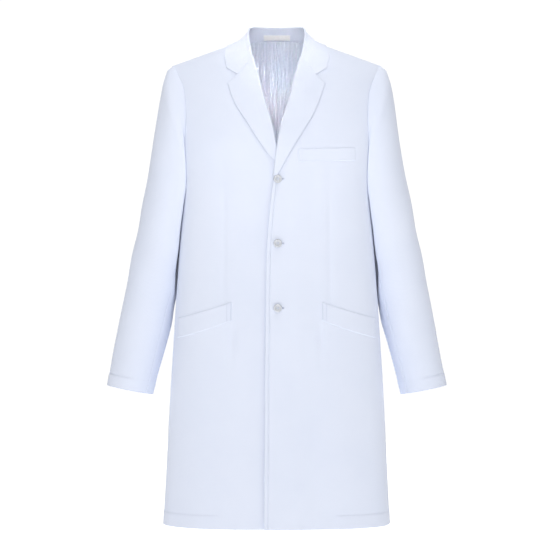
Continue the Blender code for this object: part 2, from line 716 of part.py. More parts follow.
def main():
    clear_scene()
    cloth = make_material("coat_cloth", WHITE, 0.85)
    lining = make_material("lining_cloth", LINING, 0.60)
    label = make_material("label_weave", LABEL, 0.60)
    pearl = make_material("button_pearl", PEARL, 0.20)
    thread = make_material("sewing_thread", THREAD, 0.70)

    root = make_empty("coat_body", (0.0, 0.0, 0.0))
    for side, hand in ((1, "left"), (-1, "right")):
        front_panel(f"front_{hand}", side, cloth, root)
        back_panel(f"back_{hand}", side, cloth, root)
        lapel(f"lapel_{hand}", side, cloth, root)
        patch(f"hip_welt_{hand}", side, HIP_WELT, HIP_WELT_OUT, WELT_CLOTH, cloth, root)
        patch(f"hip_pocket_bag_{hand}", side, HIP_BAG, HIP_BAG_OUT, BAG_CLOTH, lining, root, rows=3, cols=6)

        pivot = (side * SHOULDER_PIVOT[0], SHOULDER_PIVOT[1], SHOULDER_PIVOT[2])
        arm = make_empty(f"shoulder_{hand}", pivot)
        round_again = 2 * math.pi + BACK_SEAM_ANGLE
        sleeve_piece(f"sleeve_top_{hand}", side, BACK_SEAM_ANGLE, FRONT_SEAM_ANGLE, 14, cloth, arm)
        sleeve_piece(f"sleeve_under_{hand}", side, FRONT_SEAM_ANGLE, round_again, 6, cloth, arm)

    collar_fall(cloth, root)
    collar_stand(cloth, root)
    neck_label(label, root)
    back_lining(lining, root)
    patch("breast_welt", 1, BREAST_WELT, BREAST_WELT_OUT, WELT_CLOTH, cloth, root, rows=1)
    patch("breast_pocket_bag", 1, BREAST_BAG, BREAST_BAG_OUT, BAG_CLOTH, lining, root, rows=3, cols=6)

    left = make_empty("left_front_hinge", (FRONT_AXIS[0], FRONT_AXIS[1], BAND_TOP_Z))
    right = make_empty("right_front_hinge", (-FRONT_AXIS[0], FRONT_AXIS[1], BAND_TOP_Z))
    outer_left = front_band("front_edge_left", 1, LEFT_EDGE_X, BAND_X, lambda x, z: lap(x, z, 1), cloth, left)
    inner_left = front_band("facing_left", 1, LEFT_EDGE_X + FACING_INSET, FACING_X,
                            lambda x, z: lap(x, z, 1) - FACING_IN, cloth, left)
    front_band("front_edge_right", -1, -RIGHT_EDGE_X, BAND_X, lambda x, z: 0.0, cloth, right)
    front_band("facing_right", -1, -RIGHT_EDGE_X + FACING_INSET, FACING_X,
               lambda x, z: -FACING_IN, cloth, right)

    for name, z in zip(BUTTON_NAMES, BUTTON_Z):
        empty = make_empty("button_axis_" + name, tuple(button_place(z)))
        button(name, z, pearl, thread, empty)
        face = button_place(z)[1]
        drilled([outer_left, inner_left], "buttonhole_" + name, BUTTONHOLE_R, face - 0.012, face - 0.0008, 20,
                BUTTON_X, z, left, cloth)


main()
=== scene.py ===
"""Looks of the tailored lab coat: cloth, seams, stitching, pockets, buttons and lining around the CAD frame.

Every cloth piece is a fine grid laid over the same body surface as the frame's plain sheets, in metres,
with the wearer's left at +X and the front at -Y. Drape, seams and stitches are heights added along that
surface's normal.
"""
import math

import bmesh
import bpy
import numpy as np
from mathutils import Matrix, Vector


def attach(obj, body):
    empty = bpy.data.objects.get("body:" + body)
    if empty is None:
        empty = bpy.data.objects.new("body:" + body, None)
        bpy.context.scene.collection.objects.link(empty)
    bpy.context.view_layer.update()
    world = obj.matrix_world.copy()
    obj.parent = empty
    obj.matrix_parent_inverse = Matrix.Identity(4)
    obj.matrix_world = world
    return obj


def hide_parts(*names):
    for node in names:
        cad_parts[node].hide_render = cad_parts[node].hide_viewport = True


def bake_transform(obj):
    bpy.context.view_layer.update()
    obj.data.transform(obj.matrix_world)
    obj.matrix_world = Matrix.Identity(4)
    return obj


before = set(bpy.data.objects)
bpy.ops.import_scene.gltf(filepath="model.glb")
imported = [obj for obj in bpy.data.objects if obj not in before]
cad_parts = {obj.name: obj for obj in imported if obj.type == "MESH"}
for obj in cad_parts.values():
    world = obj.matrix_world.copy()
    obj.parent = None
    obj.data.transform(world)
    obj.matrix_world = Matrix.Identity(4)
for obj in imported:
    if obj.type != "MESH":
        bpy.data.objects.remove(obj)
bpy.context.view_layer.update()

# ---- the coat's driving dimensions, as in the frame ----------------------------------------------------
HAND = {1: "left", -1: "right"}
HEM_Z = -0.997
UNDERARM_Z = -0.305
SHOULDER_FRONT_Z = -0.240
SHOULDER_BACK_Z = -0.200
SECTION_POWER = 2.5
FRONT_SLOPE_POWER = 1.6
BACK_SLOPE_POWER = 2.0
SHOULDER_DROP = 0.361
SHOULDER_TOP_Z = 0.017
NECK_RISE = 0.020
NECK_REACH = 0.090
RIDGE_Y = 0.010
BACK_NECK_Y = 0.035
NECK_POINT_X = 0.085
NECK_DROP = 0.0137
HALF_WIDTH = ((-0.997, 0.2325), (-0.78, 0.2215), (-0.60, 0.2105), (-0.42, 0.199), (-0.31, 0.193),
              (-0.20, 0.206), (-0.05, 0.226), (0.05, 0.230))
FRONT_DEPTH = ((-0.997, 0.120), (-0.60, 0.117), (-0.42, 0.112), (-0.25, 0.118), (0.05, 0.118))
BACK_DEPTH = ((-0.997, 0.125), (-0.65, 0.120), (-0.42, 0.102), (-0.22, 0.114), (0.05, 0.114))
ARMHOLE_X = ((-0.305, 0.1925), (-0.234, 0.186), (-0.137, 0.185), (-0.100, 0.193), (-0.060, 0.216))
ROLL_LINE_X = ((-0.30, -0.0080), (-0.237, 0.0), (-0.19, 0.0086), (-0.139, 0.0236), (-0.074, 0.0405),
               (-0.047, 0.050), (-0.0137, 0.085))
LEFT_LAPEL_X = ((-0.302, -0.0066), (-0.2813, 0.0066), (-0.2493, 0.0239), (-0.205, 0.0512),
                (-0.1594, 0.0774), (-0.106, 0.0972))
RIGHT_LAPEL_X = ((-0.2660, -0.0030), (-0.2620, 0.0036), (-0.2348, 0.0269), (-0.1904, 0.0554),
                 (-0.1417, 0.0859), (-0.106, 0.0985))
LEFT_EDGE_X = ((-0.997, -0.0250), (-0.56, -0.0215), (-0.44, -0.0195), (-0.345, -0.0120), (-0.302, -0.0066),
               (-0.260, 0.0005))
RIGHT_EDGE_X = ((-0.997, -0.0215), (-0.345, -0.0200), (-0.302, -0.0130), (-0.260, -0.0040))
LEFT_LAP = 0.0052
GORGE_TOP = (0.0515, -0.0500)
NOTCH = (0.0775, -0.0868)
LAPEL_TIP = (0.0985, -0.1060)
COLLAR_TIP = (0.1010, -0.0720)
BREAK_Z = -0.292
BUTTON_X = 0.0020
BUTTON_Z = {"top": -0.299, "middle": -0.427, "bottom": -0.556}
SLEEVE_OUTER = ((0.2225, -0.072), (0.350, -0.716))
SLEEVE_WIDTH = ((0.0, 0.134), (0.35, 0.127), (0.60, 0.114), (1.0, 0.0965))
SLEEVE_DEPTH = ((0.0, 0.174), (0.30, 0.142), (0.60, 0.116), (1.0, 0.092))
SLEEVE_MIDDLE_Y = ((0.0, 0.003), (0.40, 0.012), (1.0, 0.024))
FRONT_SEAM = math.radians(137.0)
BACK_SEAM = math.radians(-115.0)
ARMHOLE_TOP_Z = -0.064
ARMHOLE_GAP = 0.0010
SLEEVE_CLEARANCE = 0.0035
UNDERARM_START = 0.32          # how far down the tube the seam reaches under the arm
HEAD_EASE = 0.05               # the seam's shape fades into the tube over these shares of the length
UNDERARM_EASE = 0.22
HEAD_SWELL = 0.0060
HEAD_RISE = 0.011
HEAD_FALL = 0.33
HEAD_LIFT = 0.0032             # brings the sleeve's head up to the shoulder's end
CLEAR_EASE = 0.002

CLOTH = 0.0009                 # thickness of one visible layer
DOUBLE_CLOTH = 0.0011          # and of a folded one, pressed flat
FACING_CLOTH = 0.0007
LINING_CLOTH = 0.0005
LABEL_CLOTH = 0.0004
BAG_CLOTH = 0.0012             # both layers of a pocket bag
HEM_DEPTH = 0.027
EDGE_STITCH = 0.0070           # topstitching from a front edge
STITCH_PITCH = 0.0032
STITCH_LENGTH = 0.0024
STITCH_R = 0.00024
STITCH_OUT = 0.0001            # how far stitches stand out from the cloth
EDGE_BULGE = 0.45              # how far a sheet's edge is rounded out, in its thickness


# ---- curves and the body surface, on arrays ------------------------------------------------------------
def curve(points, at):
    """Smooth values at `at` through (position, value) points in rising order."""
    xs = np.array([p[0] for p in points])
    ys = np.array([p[1] for p in points])
    at = np.clip(at, xs[0], xs[-1])
    i = np.clip(np.searchsorted(xs, at) - 1, 0, len(xs) - 2)
    slopes = np.diff(ys) / np.diff(xs)
    tangents = np.concatenate([slopes[:1], (slopes[1:] + slopes[:-1]) / 2, slopes[-1:]])
    width = xs[i + 1] - xs[i]
    t = (at - xs[i]) / width
    start = (1 + 2 * t) * (1 - t) ** 2 * ys[i] + t * (1 - t) ** 2 * width * tangents[i]
    end = t * t * (3 - 2 * t) * ys[i + 1] - t * t * (1 - t) * width * tangents[i + 1]
    return start + end


def smooth(t):
    t = np.clip(t, 0.0, 1.0)
    return t * t * (3 - 2 * t)


def hump(t, width):
    """1 at t = 0, falling smoothly to 0 over about two widths on both sides."""
    return np.exp(-(t / width) ** 2)


def spline(points, t):
    """Points at t, from 0 to 1, on a smooth curve through evenly spaced points."""
    points = np.asarray(points, float)
    last = len(points) - 1
    place = np.clip(np.atleast_1d(t), 0.0, 1.0) * last
    i = np.minimum(place.astype(int), last - 1)
    f = (place - i)[:, None]
    padded = np.vstack([2 * points[0] - points[1], points, 2 * points[-1] - points[-2]])
    before, here, there, after = padded[i], padded[i + 1], padded[i + 2], padded[i + 3]
    return 0.5 * (2 * here + (there - before) * f + (2 * before - 5 * here + 4 * there - after) * f * f
                  + (3 * here - before - 3 * there + after) * f ** 3)


def unit(vectors):
    return vectors / np.maximum(np.linalg.norm(vectors, axis=-1, keepdims=True), 1e-9)


def shoulder_line(x):
    rise = np.maximum(0.0, 1 - (x / NECK_REACH) ** 2) ** 2
    return SHOULDER_TOP_Z - SHOULDER_DROP * np.abs(x) + NECK_RISE * rise


def body(angle, z):
    """Points of the coat's outer surface: angle 0 is centre front, pi/2 the left side, pi centre back."""
    angle, z = np.broadcast_arrays(np.asarray(angle, float), np.asarray(z, float))
    s = np.sin(angle)
    front = np.cos(angle) >= 0
    x = curve(HALF_WIDTH, z) * s
    level = np.maximum(0.0, 1 - np.abs(s) ** SECTION_POWER) ** (1 / SECTION_POWER)
    y = np.where(front, -curve(FRONT_DEPTH, z), curve(BACK_DEPTH, z)) * level
    start = np.where(front, SHOULDER_FRONT_Z, SHOULDER_BACK_Z)
    power = np.where(front, FRONT_SLOPE_POWER, BACK_SLOPE_POWER)
    up = np.clip((z - start) / (shoulder_line(x) - start), 0.0, 1.0)
    level = (1 - up ** power) ** (1 / power)
    ridge = RIDGE_Y + np.where(front, 0.0, (BACK_NECK_Y - RIDGE_Y) * (1 - smooth(np.abs(x) / NECK_POINT_X)))
    return np.stack([x, np.where(z <= start, y, ridge + (y - ridge) * level), z], -1)


def body_normal(angle, z):
    step = 0.002
    across = body(angle + step, z) - body(angle - step, z)
    along = body(angle, z + step) - body(angle, z - step)
    return unit(np.cross(across, along))


def angle_at(x, z, front=True):
    s = np.clip(x / curve(HALF_WIDTH, z), -1.0, 1.0)
    return np.arcsin(s) if front else math.pi - np.arcsin(s)


def lap(x, z, side):
    """How far the left front stands out where it laps over the right one."""
    if side < 0:
        return 0.0 * x
    return LEFT_LAP * (1 - smooth((x - 0.030) / 0.050)) * (1 - smooth((z + 0.225) / 0.060))


# ---- drape: soft heights of the cloth over the body ----------------------------------------------------
def drape(angle, z):
    """Slow folds all round the coat, almost none at the chest and most at the hem."""
    skirt = smooth((-0.50 - z) / 0.45)
    folds = 0.0
    for waves, phase, lean in ((5, 0.7, 0.9), (8, 2.1, -1.3), (13, 4.0, 1.7)):
        folds = folds + np.sin(waves * angle + phase + lean * z * 3.0) / waves
    ripple = np.sin(3.1 * angle + 9.0 * z + 1.3) * np.sin(5.3 * angle - 6.0 * z)
    return 0.0060 * skirt * folds + 0.0007 * ripple * smooth((-0.06 - z) / 0.10)


DART_X = 0.106
POCKET_FOLD_X = 0.088          # a soft fold below each hip pocket's inner end


def front_drape(x, z, side):
    """What the front's darts, pockets and buttons do to the cloth; x is out from the middle."""
    dart = smooth((z + 0.560) / 0.03) * smooth((-0.300 - z) / 0.06)
    height = -0.0016 * hump(x - DART_X, 0.010) * dart - 0.0014 * hump(x - DART_X, 0.0026) * dart
    above = smooth((-0.235 - z) / 0.05) * smooth((z + 0.335) / 0.05)
    height = height - 0.0016 * hump(x - 0.108, 0.012) * above
    fold = smooth((-0.585 - z) / 0.02) * smooth((z + 0.70) / 0.09)
    height = height - 0.0036 * hump(x - POCKET_FOLD_X + (z + 0.58) * 0.02, 0.0060) * fold
    height = height + 0.0014 * hump(x - 0.070, 0.016) * fold
    for place in BUTTON_Z.values():
        out = x * side - BUTTON_X
        below = out * 0.55 + (z - place) * 0.83
        across = -out * 0.83 + (z - place) * 0.55
        height = height - 0.0016 * hump(below + 0.019, 0.008) * hump(across, 0.016)
        height = height - 0.0007 * hump(out, 0.012) * hump(z - place, 0.010)
    return height


def front_at(angle, z, side, out=0.0):
    """Points and normals of a front, from the middle outwards; side is 1 on the wearer's left."""
    base = body(angle, z)
    n = body_normal(angle, z)
    x = base[..., 0]
    calm = smooth(x / 0.03) * 0.6 + 0.4
    height = lap(x, z, side) + calm * drape(side * angle, z) + front_drape(x, z, side) + out
    points = base + n * height[..., None]
    flip = np.array((side, 1.0, 1.0))
    return points * flip, n * flip


def front_view(x, z, side, out=0.0):
    return front_at(angle_at(x, z), z, side, out)


def back_at(angle, z, side, out=0.0):
    base = body(math.pi - angle, z)
    n = body_normal(math.pi - angle, z)
    height = drape(side * (math.pi - angle), z) + out
    flip = np.array((side, 1.0, 1.0))
    return (base + n * np.asarray(height)[..., None]) * flip, n * flip


# ---- materials -----------------------------------------------------------------------------------------
TWILL_SLANT = 0.35             # radians between the ribs and the cloth's length
THREAD_CONTRAST = 0.35         # how much the threads show in the colour
ROUGHNESS_SPREAD = 0.06


def new_material(name, roughness, sheen=0.0, specular=0.35):
    material = bpy.data.materials.new(name)
    material.use_nodes = True
    shader = material.node_tree.nodes["Principled BSDF"]
    shader.inputs["Roughness"].default_value = roughness
    shader.inputs["Specular IOR Level"].default_value = specular
    shader.inputs["Sheen Weight"].default_value = sheen
    return material, shader


def placed(name, data):
    """A new object of this data, linked into the scene."""
    obj = bpy.data.objects.new(name, data)
    bpy.context.scene.collection.objects.link(obj)
    return obj


def add_node(material, kind, **settings):
    node = material.node_tree.nodes.new(kind)
    for key, value in settings.items():
        if key in node.inputs:
            node.inputs[key].default_value = value
        else:
            setattr(node, key, value)
    return node


def join(material, output, target):
    material.node_tree.links.new(output, target)


def object_place(material, *nodes):
    """Lays these textures out by the object's own coordinates."""
    spot = add_node(material, "ShaderNodeTexCoord")
    for node in nodes:
        join(material, spot.outputs["Object"], node.inputs["Vector"])


def ramp_colour(material, shader, source, dark, light, low=0.0, high=1.0):
    """Base colour that runs from dark to light as the source rises from low to high."""
    ramp = add_node(material, "ShaderNodeValToRGB")
    for element, place, colour in zip(ramp.color_ramp.elements, (low, high), (dark, light)):
        element.position = place
        element.color = colour
    join(material, source, ramp.inputs["Fac"])
    join(material, ramp.outputs["Color"], shader.inputs["Base Color"])


def add_relief(material, shader, source, strength):
    relief = add_node(material, "ShaderNodeBump", Strength=strength, Distance=0.0002)
    join(material, source, relief.inputs["Height"])
    join(material, relief.outputs["Normal"], shader.inputs["Normal"])


def woven(name, light, dark, threads_per_m, roughness=0.85, sheen=0.15, bump=0.25):
    """Twill: slanting ribs of crossing threads, soft cloudy colour, and a little shine on the nap."""
    material, shader = new_material(name, roughness, sheen, 0.25)
    place = add_node(material, "ShaderNodeUVMap", uv_map="cloth")
    turned_place = add_node(material, "ShaderNodeMapping")
    turned_place.inputs["Rotation"].default_value = (0.0, 0.0, TWILL_SLANT)
    join(material, place.outputs["UV"], turned_place.inputs["Vector"])
    cross = add_node(material, "ShaderNodeMath", operation="MULTIPLY")
    sets = (("X", turned_place.outputs["Vector"]), ("Y", place.outputs["UV"]))
    for k, (direction, source) in enumerate(sets):
        threads = add_node(material, "ShaderNodeTexWave", wave_type="BANDS", bands_direction=direction,
                           Scale=threads_per_m / 20, Distortion=0.4)
        join(material, source, threads.inputs["Vector"])
        join(material, threads.outputs["Fac"], cross.inputs[k])
    cloud = add_node(material, "ShaderNodeTexNoise", Scale=9.0, Detail=4.0, Roughness=0.6)
    slub = add_node(material, "ShaderNodeTexNoise", Scale=420.0, Detail=2.0)
    object_place(material, cloud, slub)
    mixed = add_node(material, "ShaderNodeMath", operation="MULTIPLY_ADD")
    mixed.inputs[1].default_value = THREAD_CONTRAST
    join(material, cross.outputs[0], mixed.inputs[0])
    join(material, cloud.outputs["Fac"], mixed.inputs[2])
    ramp_colour(material, shader, mixed.outputs[0], dark, light, 0.30, 0.85)
    rough = add_node(material, "ShaderNodeMapRange")
    rough.inputs["To Min"].default_value = roughness - ROUGHNESS_SPREAD
    rough.inputs["To Max"].default_value = roughness + ROUGHNESS_SPREAD
    join(material, slub.outputs["Fac"], rough.inputs["Value"])
    join(material, rough.outputs["Result"], shader.inputs["Roughness"])
    height = add_node(material, "ShaderNodeMath", operation="ADD")
    join(material, cross.outputs[0], height.inputs[0])
    join(material, slub.outputs["Fac"], height.inputs[1])
    add_relief(material, shader, height.outputs[0], bump)
    return material


def pearl_material():
    material, shader = new_material("button_pearl", 0.22, 0.0, 0.55)
    shader.inputs["Coat Weight"].default_value = 0.35
    shader.inputs["Coat Roughness"].default_value = 0.12
    bands = add_node(material, "ShaderNodeTexWave", Scale=55.0, Distortion=14.0, Detail=3.0)
    object_place(material, bands)
    ramp_colour(material, shader, bands.outputs["Fac"], (0.585, 0.605, 0.64, 1), (0.67, 0.69, 0.735, 1))
    add_relief(material, shader, bands.outputs["Fac"], 0.08)
    return material


def thread_material(name, light, dark):
    material, shader = new_material(name, 0.6, 0.3, 0.3)
    twist = add_node(material, "ShaderNodeTexWave", Scale=900.0, Distortion=1.0, bands_direction="DIAGONAL")
    object_place(material, twist)
    ramp_colour(material, shader, twist.outputs["Fac"], dark, light)
    return material


COAT = woven("coat_twill", (0.800, 0.845, 0.965, 1), (0.765, 0.815, 0.945, 1), 2400)
LINING = woven("lining_weave", (0.875, 0.925, 1.0, 1), (0.78, 0.84, 0.98, 1), 1800, 0.6, 0.3, 0.2)
LABEL = woven("label_satin", (1.0, 1.0, 1.0, 1), (0.97, 0.98, 1.0, 1), 3000, 0.4, 0.2, 0.15)
SHADE = woven("slit_shadow", (0.22, 0.24, 0.30, 1), (0.14, 0.15, 0.20, 1), 2400)
PEARL = pearl_material()
THREAD = thread_material("coat_thread", (0.80, 0.84, 0.95, 1), (0.66, 0.70, 0.84, 1))
TACK = thread_material("tack_thread", (0.74, 0.78, 0.90, 1), (0.55, 0.60, 0.74, 1))


# ---- building pieces -----------------------------------------------------------------------------------
def grid_normals(points, like):
    """Normals of a grid of points, turned the same way as the rough normals given."""
    down = np.gradient(points, axis=0)
    across = np.gradient(points, axis=1)
    n = unit(np.cross(across, down))
    turn = np.sign((n * like).sum(-1, keepdims=True))
    turn[turn == 0] = 1
    return n * turn


def lengths(points, axis):
    """Distance along a grid's rows or columns from the start, as cloth coordinates."""
    step = np.linalg.norm(np.diff(points, axis=axis), axis=-1)
    first = np.zeros_like(np.take(step, [0], axis=axis))
    return np.cumsum(np.concatenate([first, step], axis=axis), axis=axis)


def edge_ring(rows, cols):
    """Row and column of each vertex along a grid's edge, once round."""
    return ([(0, j) for j in range(cols)] + [(i, cols - 1) for i in range(1, rows)]
            + [(rows - 1, j) for j in range(cols - 2, -1, -1)] + [(i, 0) for i in range(rows - 2, 0, -1)])


def cloth_piece(name, points, rough, material, thickness=CLOTH):
    """Closed sheet of cloth whose outer face is the grid `points`; its edges are rounded over."""
    n = grid_normals(points, rough)
    rows, cols = points.shape[:2]
    middle = points - n * thickness / 2
    outward = np.zeros_like(points)
    for axis in (0, 1):
        for end, before in ((0, 1), (-1, -2)):
            edge = [slice(None)] * 2
            edge[axis] = end
            outward[tuple(edge)] += unit(np.take(points, end, axis=axis) - np.take(points, before, axis=axis))
    ring = edge_ring(rows, cols)
    bulge = np.array([middle[i, j] + unit(outward[i, j]) * thickness * EDGE_BULGE for i, j in ring])
    vertices = np.vstack([points.reshape(-1, 3), (points - n * thickness).reshape(-1, 3), bulge])
    count = rows * cols
    i, j = np.meshgrid(np.arange(rows - 1), np.arange(cols - 1), indexing="ij")
    a = (i * cols + j).ravel()
    quads = np.stack([a, a + 1, a + cols + 1, a + cols], -1)
    here = np.array([r * cols + c for r, c in ring])
    following = np.roll(here, -1)
    strip = 2 * count + np.arange(len(ring))
    next_strip = np.roll(strip, -1)
    faces = np.vstack([quads, quads[:, ::-1] + count,
                       np.stack([following, here, strip, next_strip], -1),
                       np.stack([next_strip, strip, here + count, following + count], -1)])
    mesh = bpy.data.meshes.new(name)
    mesh.from_pydata(vertices.tolist(), [], faces.tolist())
    mesh.materials.append(material)
    across, down = lengths(points, 1), lengths(points, 0)
    flat = np.stack([across, down], -1).reshape(-1, 2)
    uv = np.vstack([flat, flat, flat[here]])
    layer = mesh.uv_layers.new(name="cloth")
    loops = np.array([loop.vertex_index for loop in mesh.loops])
    layer.data.foreach_set("uv", uv[loops].astype(np.float32).ravel())
    smooth_faces(mesh)
    obj = placed(name, mesh)
    turn_outward(obj)
    obj["flat_width"] = float(across.max())
    obj["flat_length"] = float(down.max())
    obj["flat_area"] = grid_area(points)
    return obj


def smooth_faces(mesh):
    mesh.polygons.foreach_set("use_smooth", np.ones(len(mesh.polygons), bool))


def turn_outward(obj):
    work = bmesh.new()
    work.from_mesh(obj.data)
    bmesh.ops.recalc_face_normals(work, faces=work.faces)
    work.to_mesh(obj.data)
    work.free()


def grid_area(points):
    a = points[1:, 1:] - points[:-1, :-1]
    b = points[1:, :-1] - points[:-1, 1:]
    return float(np.linalg.norm(np.cross(a, b), axis=-1).sum() / 2)


def declare(obj, held, slot, *replaced, pieces=()):
    """Hides the frame's parts that this piece replaces."""
    if replaced:
        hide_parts(*replaced)


def sewn(name, parts, material=THREAD):
    """One piece of thread from (vertices, faces) pairs."""
    vertices, faces, start = [], [], 0
    for points, polygons in parts:
        vertices.append(points)
        faces += [tuple(v + start for v in face) for face in polygons]
        start += len(points)
    mesh = bpy.data.meshes.new(name)
    mesh.from_pydata(np.vstack(vertices).tolist(), [], faces)
    mesh.materials.append(material)
    smooth_faces(mesh)
    obj = placed(name, mesh)
    return obj


CAPSULE_SIDES = 6
CAPSULE = ((-0.5, 0.25), (-0.38, 0.85), (0.0, 1.0), (0.38, 0.85), (0.5, 0.25))


def capsules(centres, directions, normals, length, radius):
    """A short fat thread lying at each centre, a little flattened onto the cloth."""
    across = unit(np.cross(directions, normals))
    parts, faces = [], []
    rings = len(CAPSULE)
    for a in range(0, (rings - 1) * CAPSULE_SIDES, CAPSULE_SIDES):
        for k in range(CAPSULE_SIDES):
            n, b = (k + 1) % CAPSULE_SIDES, a + CAPSULE_SIDES
            faces.append((a + k, a + n, b + n, b + k))
    faces.append(tuple(range(CAPSULE_SIDES - 1, -1, -1)))
    faces.append(tuple(range((rings - 1) * CAPSULE_SIDES, rings * CAPSULE_SIDES)))
    for c, d, n, side in zip(centres, directions, normals, across):
        points = []
        for place, width in CAPSULE:
            for k in range(CAPSULE_SIDES):
                turn = 2 * math.pi * k / CAPSULE_SIDES
                points.append(c + d * place * length
                              + (side * math.cos(turn) + n * math.sin(turn) * 0.8) * radius * width)
        parts.append((np.array(points), faces))
    return parts


def resampled(points, normals, pitch):
    """Middles, directions and normals of equal steps along a line of points."""
    step = np.linalg.norm(np.diff(points, axis=0), axis=1)
    reach = np.concatenate([[0], np.cumsum(step)])
    count = max(int(reach[-1] / pitch), 1)
    at = (np.arange(count) + 0.5) * reach[-1] / count

    def along(values, places):
        return np.stack([np.interp(places, reach, values[:, k]) for k in range(3)], -1)

    directions = unit(along(points, at + pitch / 4) - along(points, at - pitch / 4))
    return along(points, at), directions, unit(along(normals, at))


def stitch_parts(points, normals, pitch=STITCH_PITCH, length=STITCH_LENGTH, radius=STITCH_R):
    middles, directions, facing = resampled(points, normals, pitch)
    return capsules(middles, directions, facing, length, radius)


def blend_front(obj):
    """Bakes the placement of a piece of a front into its mesh."""
    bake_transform(obj)


def levels(*runs):
    """Rising places made of runs of (start, end, steps); each run leaves out its end."""
    out = []
    for start, end, count in runs:
        out += [start + (end - start) * k / count for k in range(count)]
    out.append(runs[-1][1])
    return np.array(out)


# ---- fronts and backs ----------------------------------------------------------------------------------
SIDE_STEPS = np.array((0.12, 0.068, 0.031, 0.0131, 0.0055, 0.0004))   # angles short of the side seam
EDGE_STEPS = np.array((0.0, 0.0012, 0.004, 0.0062, 0.0070, 0.0078, 0.011))   # from a front's own edge
HEM_ROWS = levels((0.0, 0.003, 2), (0.003, 0.024, 4), (0.024, 0.030, 4), (0.030, UNDERARM_Z - HEM_Z, 84))
UPPER_ROWS = levels((0.0, 0.9, 44), (0.9, 1.0, 10))[1:]
SETTLE_ROUNDS = 26             # a row above the underarm follows the shoulder's height, which depends on x


def armhole_angle(z):
    return np.arcsin(np.clip(curve(ARMHOLE_X, z) / curve(HALF_WIDTH, z), 0, 1))


def neck_edge(z, side):
    """Inner edge of a front: its own front edge below the break, the roll line above it."""
    table = LEFT_EDGE_X if side > 0 else RIGHT_EDGE_X
    front = curve(table, z)
    roll = curve(ROLL_LINE_X, z)
    mix = smooth((z + 0.300) / 0.040)
    return front * (1 - mix) + roll * mix


def panel_grid(inner, cols, front):
    """Angles and heights of a panel from its inner edge to the side seam or armhole, hem to shoulder."""
    angles, heights = [], []
    for k in range(len(HEM_ROWS) + len(UPPER_ROWS)):
        lower = k < len(HEM_ROWS)
        x = np.linspace(0.05, 0.18, len(cols))
        for _ in range(1 if lower else SETTLE_ROUNDS):
            if lower:
                z = np.full(len(cols), HEM_Z + HEM_ROWS[k])
            else:
                share = math.sin(UPPER_ROWS[k - len(HEM_ROWS)] * math.pi / 2) ** 0.9
                top = shoulder_line(x) - 0.00002
                if not front:
                    neck = -NECK_DROP * (x / NECK_POINT_X) ** 2
                    top = np.where(np.abs(x) < NECK_POINT_X, np.minimum(top, neck), top)
                z = UNDERARM_Z + (top - UNDERARM_Z) * share
            low = angle_at(inner(z), z)
            width = curve(HALF_WIDTH, z)
            near = low + EDGE_STEPS[-1] / width
            limit = np.full(len(cols), math.pi / 2) if lower else armhole_angle(z)
            reach = 1.0 if lower else np.clip((UNDERARM_Z + 0.05 - z) / 0.05, 0.0, 1.0)
            far = limit - (SIDE_STEPS[0] * reach + 0.03 * (1 - reach))
            angle = near + (far - near) * np.clip(cols, 0, 1)
            angle = np.where(cols < 0, low + (near - low) * (1 + cols), angle)
            tail = np.interp(cols, FAR_COLS, SIDE_STEPS / SIDE_STEPS[0])
            angle = np.where(cols > 1, limit - (limit - far) * tail, angle)
            x = 0.5 * x + 0.5 * width * np.sin(angle)
        angles.append(angle)
        heights.append(z)
    return np.array(angles), np.array(heights)


NEAR_COLS = -1 + EDGE_STEPS[:-1] / EDGE_STEPS[-1]
FAR_COLS = 1 + np.arange(len(SIDE_STEPS)) / 10.0
EDGE_STITCH_COL = NEAR_COLS[4]
FACING_X = 0.117               # a facing's inner line, out from the middle
FACING_IN = 0.0021             # how far a facing lies inside the front's outer face
PANEL_COLS = np.concatenate([NEAR_COLS, np.linspace(0, 1, 64), FAR_COLS[1:]])


def seam_dip(shape, first=False):
    """Small sink of the cloth at the seam on a panel's last columns, and on its first ones if asked."""
    dip = np.zeros(shape)
    for column, depth in enumerate((0.0007, 0.0004, 0.0001)):
        dip[:, -1 - column] -= depth
        if first:
            dip[:, column] -= depth
    return dip


def hem_height(angle, z, facing_x):
    """The turned-up hem is two layers thick, with a small groove along its stitching."""
    up = z - HEM_Z
    x = curve(HALF_WIDTH, z) * np.sin(angle)
    clear = smooth((x - facing_x) / 0.006)
    return clear * (0.0006 * (1 - smooth((up - HEM_DEPTH) / 0.002)) - 0.0006 * hump(up - HEM_DEPTH, 0.0012))


def make_front(side):
    hand = HAND[side]
    angle, z = panel_grid(lambda height: neck_edge(height, side), PANEL_COLS, True)
    groove = -0.0010 * hump(PANEL_COLS[None, :] - EDGE_STITCH_COL, 0.05) * (z < BREAK_Z)
    out = seam_dip(angle.shape) + hem_height(angle, z, FACING_X) + groove
    points, rough = front_at(angle, z, side, out)
    obj = cloth_piece(f"front_{hand}_cloth", points, rough, COAT)
    declare(obj, "hung", "coat", f"front_{hand}", f"front_edge_{hand}")
    blend_front(obj)


def make_facing(side):
    """Inner layer of a front, from its edge to the facing's inner line."""
    hand = HAND[side]
    rows = levels((HEM_Z + 0.002, -0.250, 70))
    share = np.linspace(0, 1, 26)
    z = np.repeat(rows[:, None], len(share), 1)
    inner = neck_edge(z, side) + 0.0012
    x = inner + (FACING_X - inner) * share[None, :]
    points, rough = front_view(x, z, side, -FACING_IN)
    obj = cloth_piece(f"facing_{hand}_cloth", points, rough, COAT, FACING_CLOTH)
    declare(obj, "hung", "coat", f"facing_{hand}")
    blend_front(obj)


def make_back(side):
    hand = HAND[side]
    angle, z = panel_grid(lambda height: 0.0 * height, PANEL_COLS, False)
    out = seam_dip(angle.shape, True) + hem_height(angle, z, -1.0)
    points, rough = back_at(angle, z, side, out)
    obj = cloth_piece(f"back_{hand}_cloth", points, rough, COAT)
    declare(obj, "hung", "coat", f"back_{hand}")
    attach(obj, "coat_body")


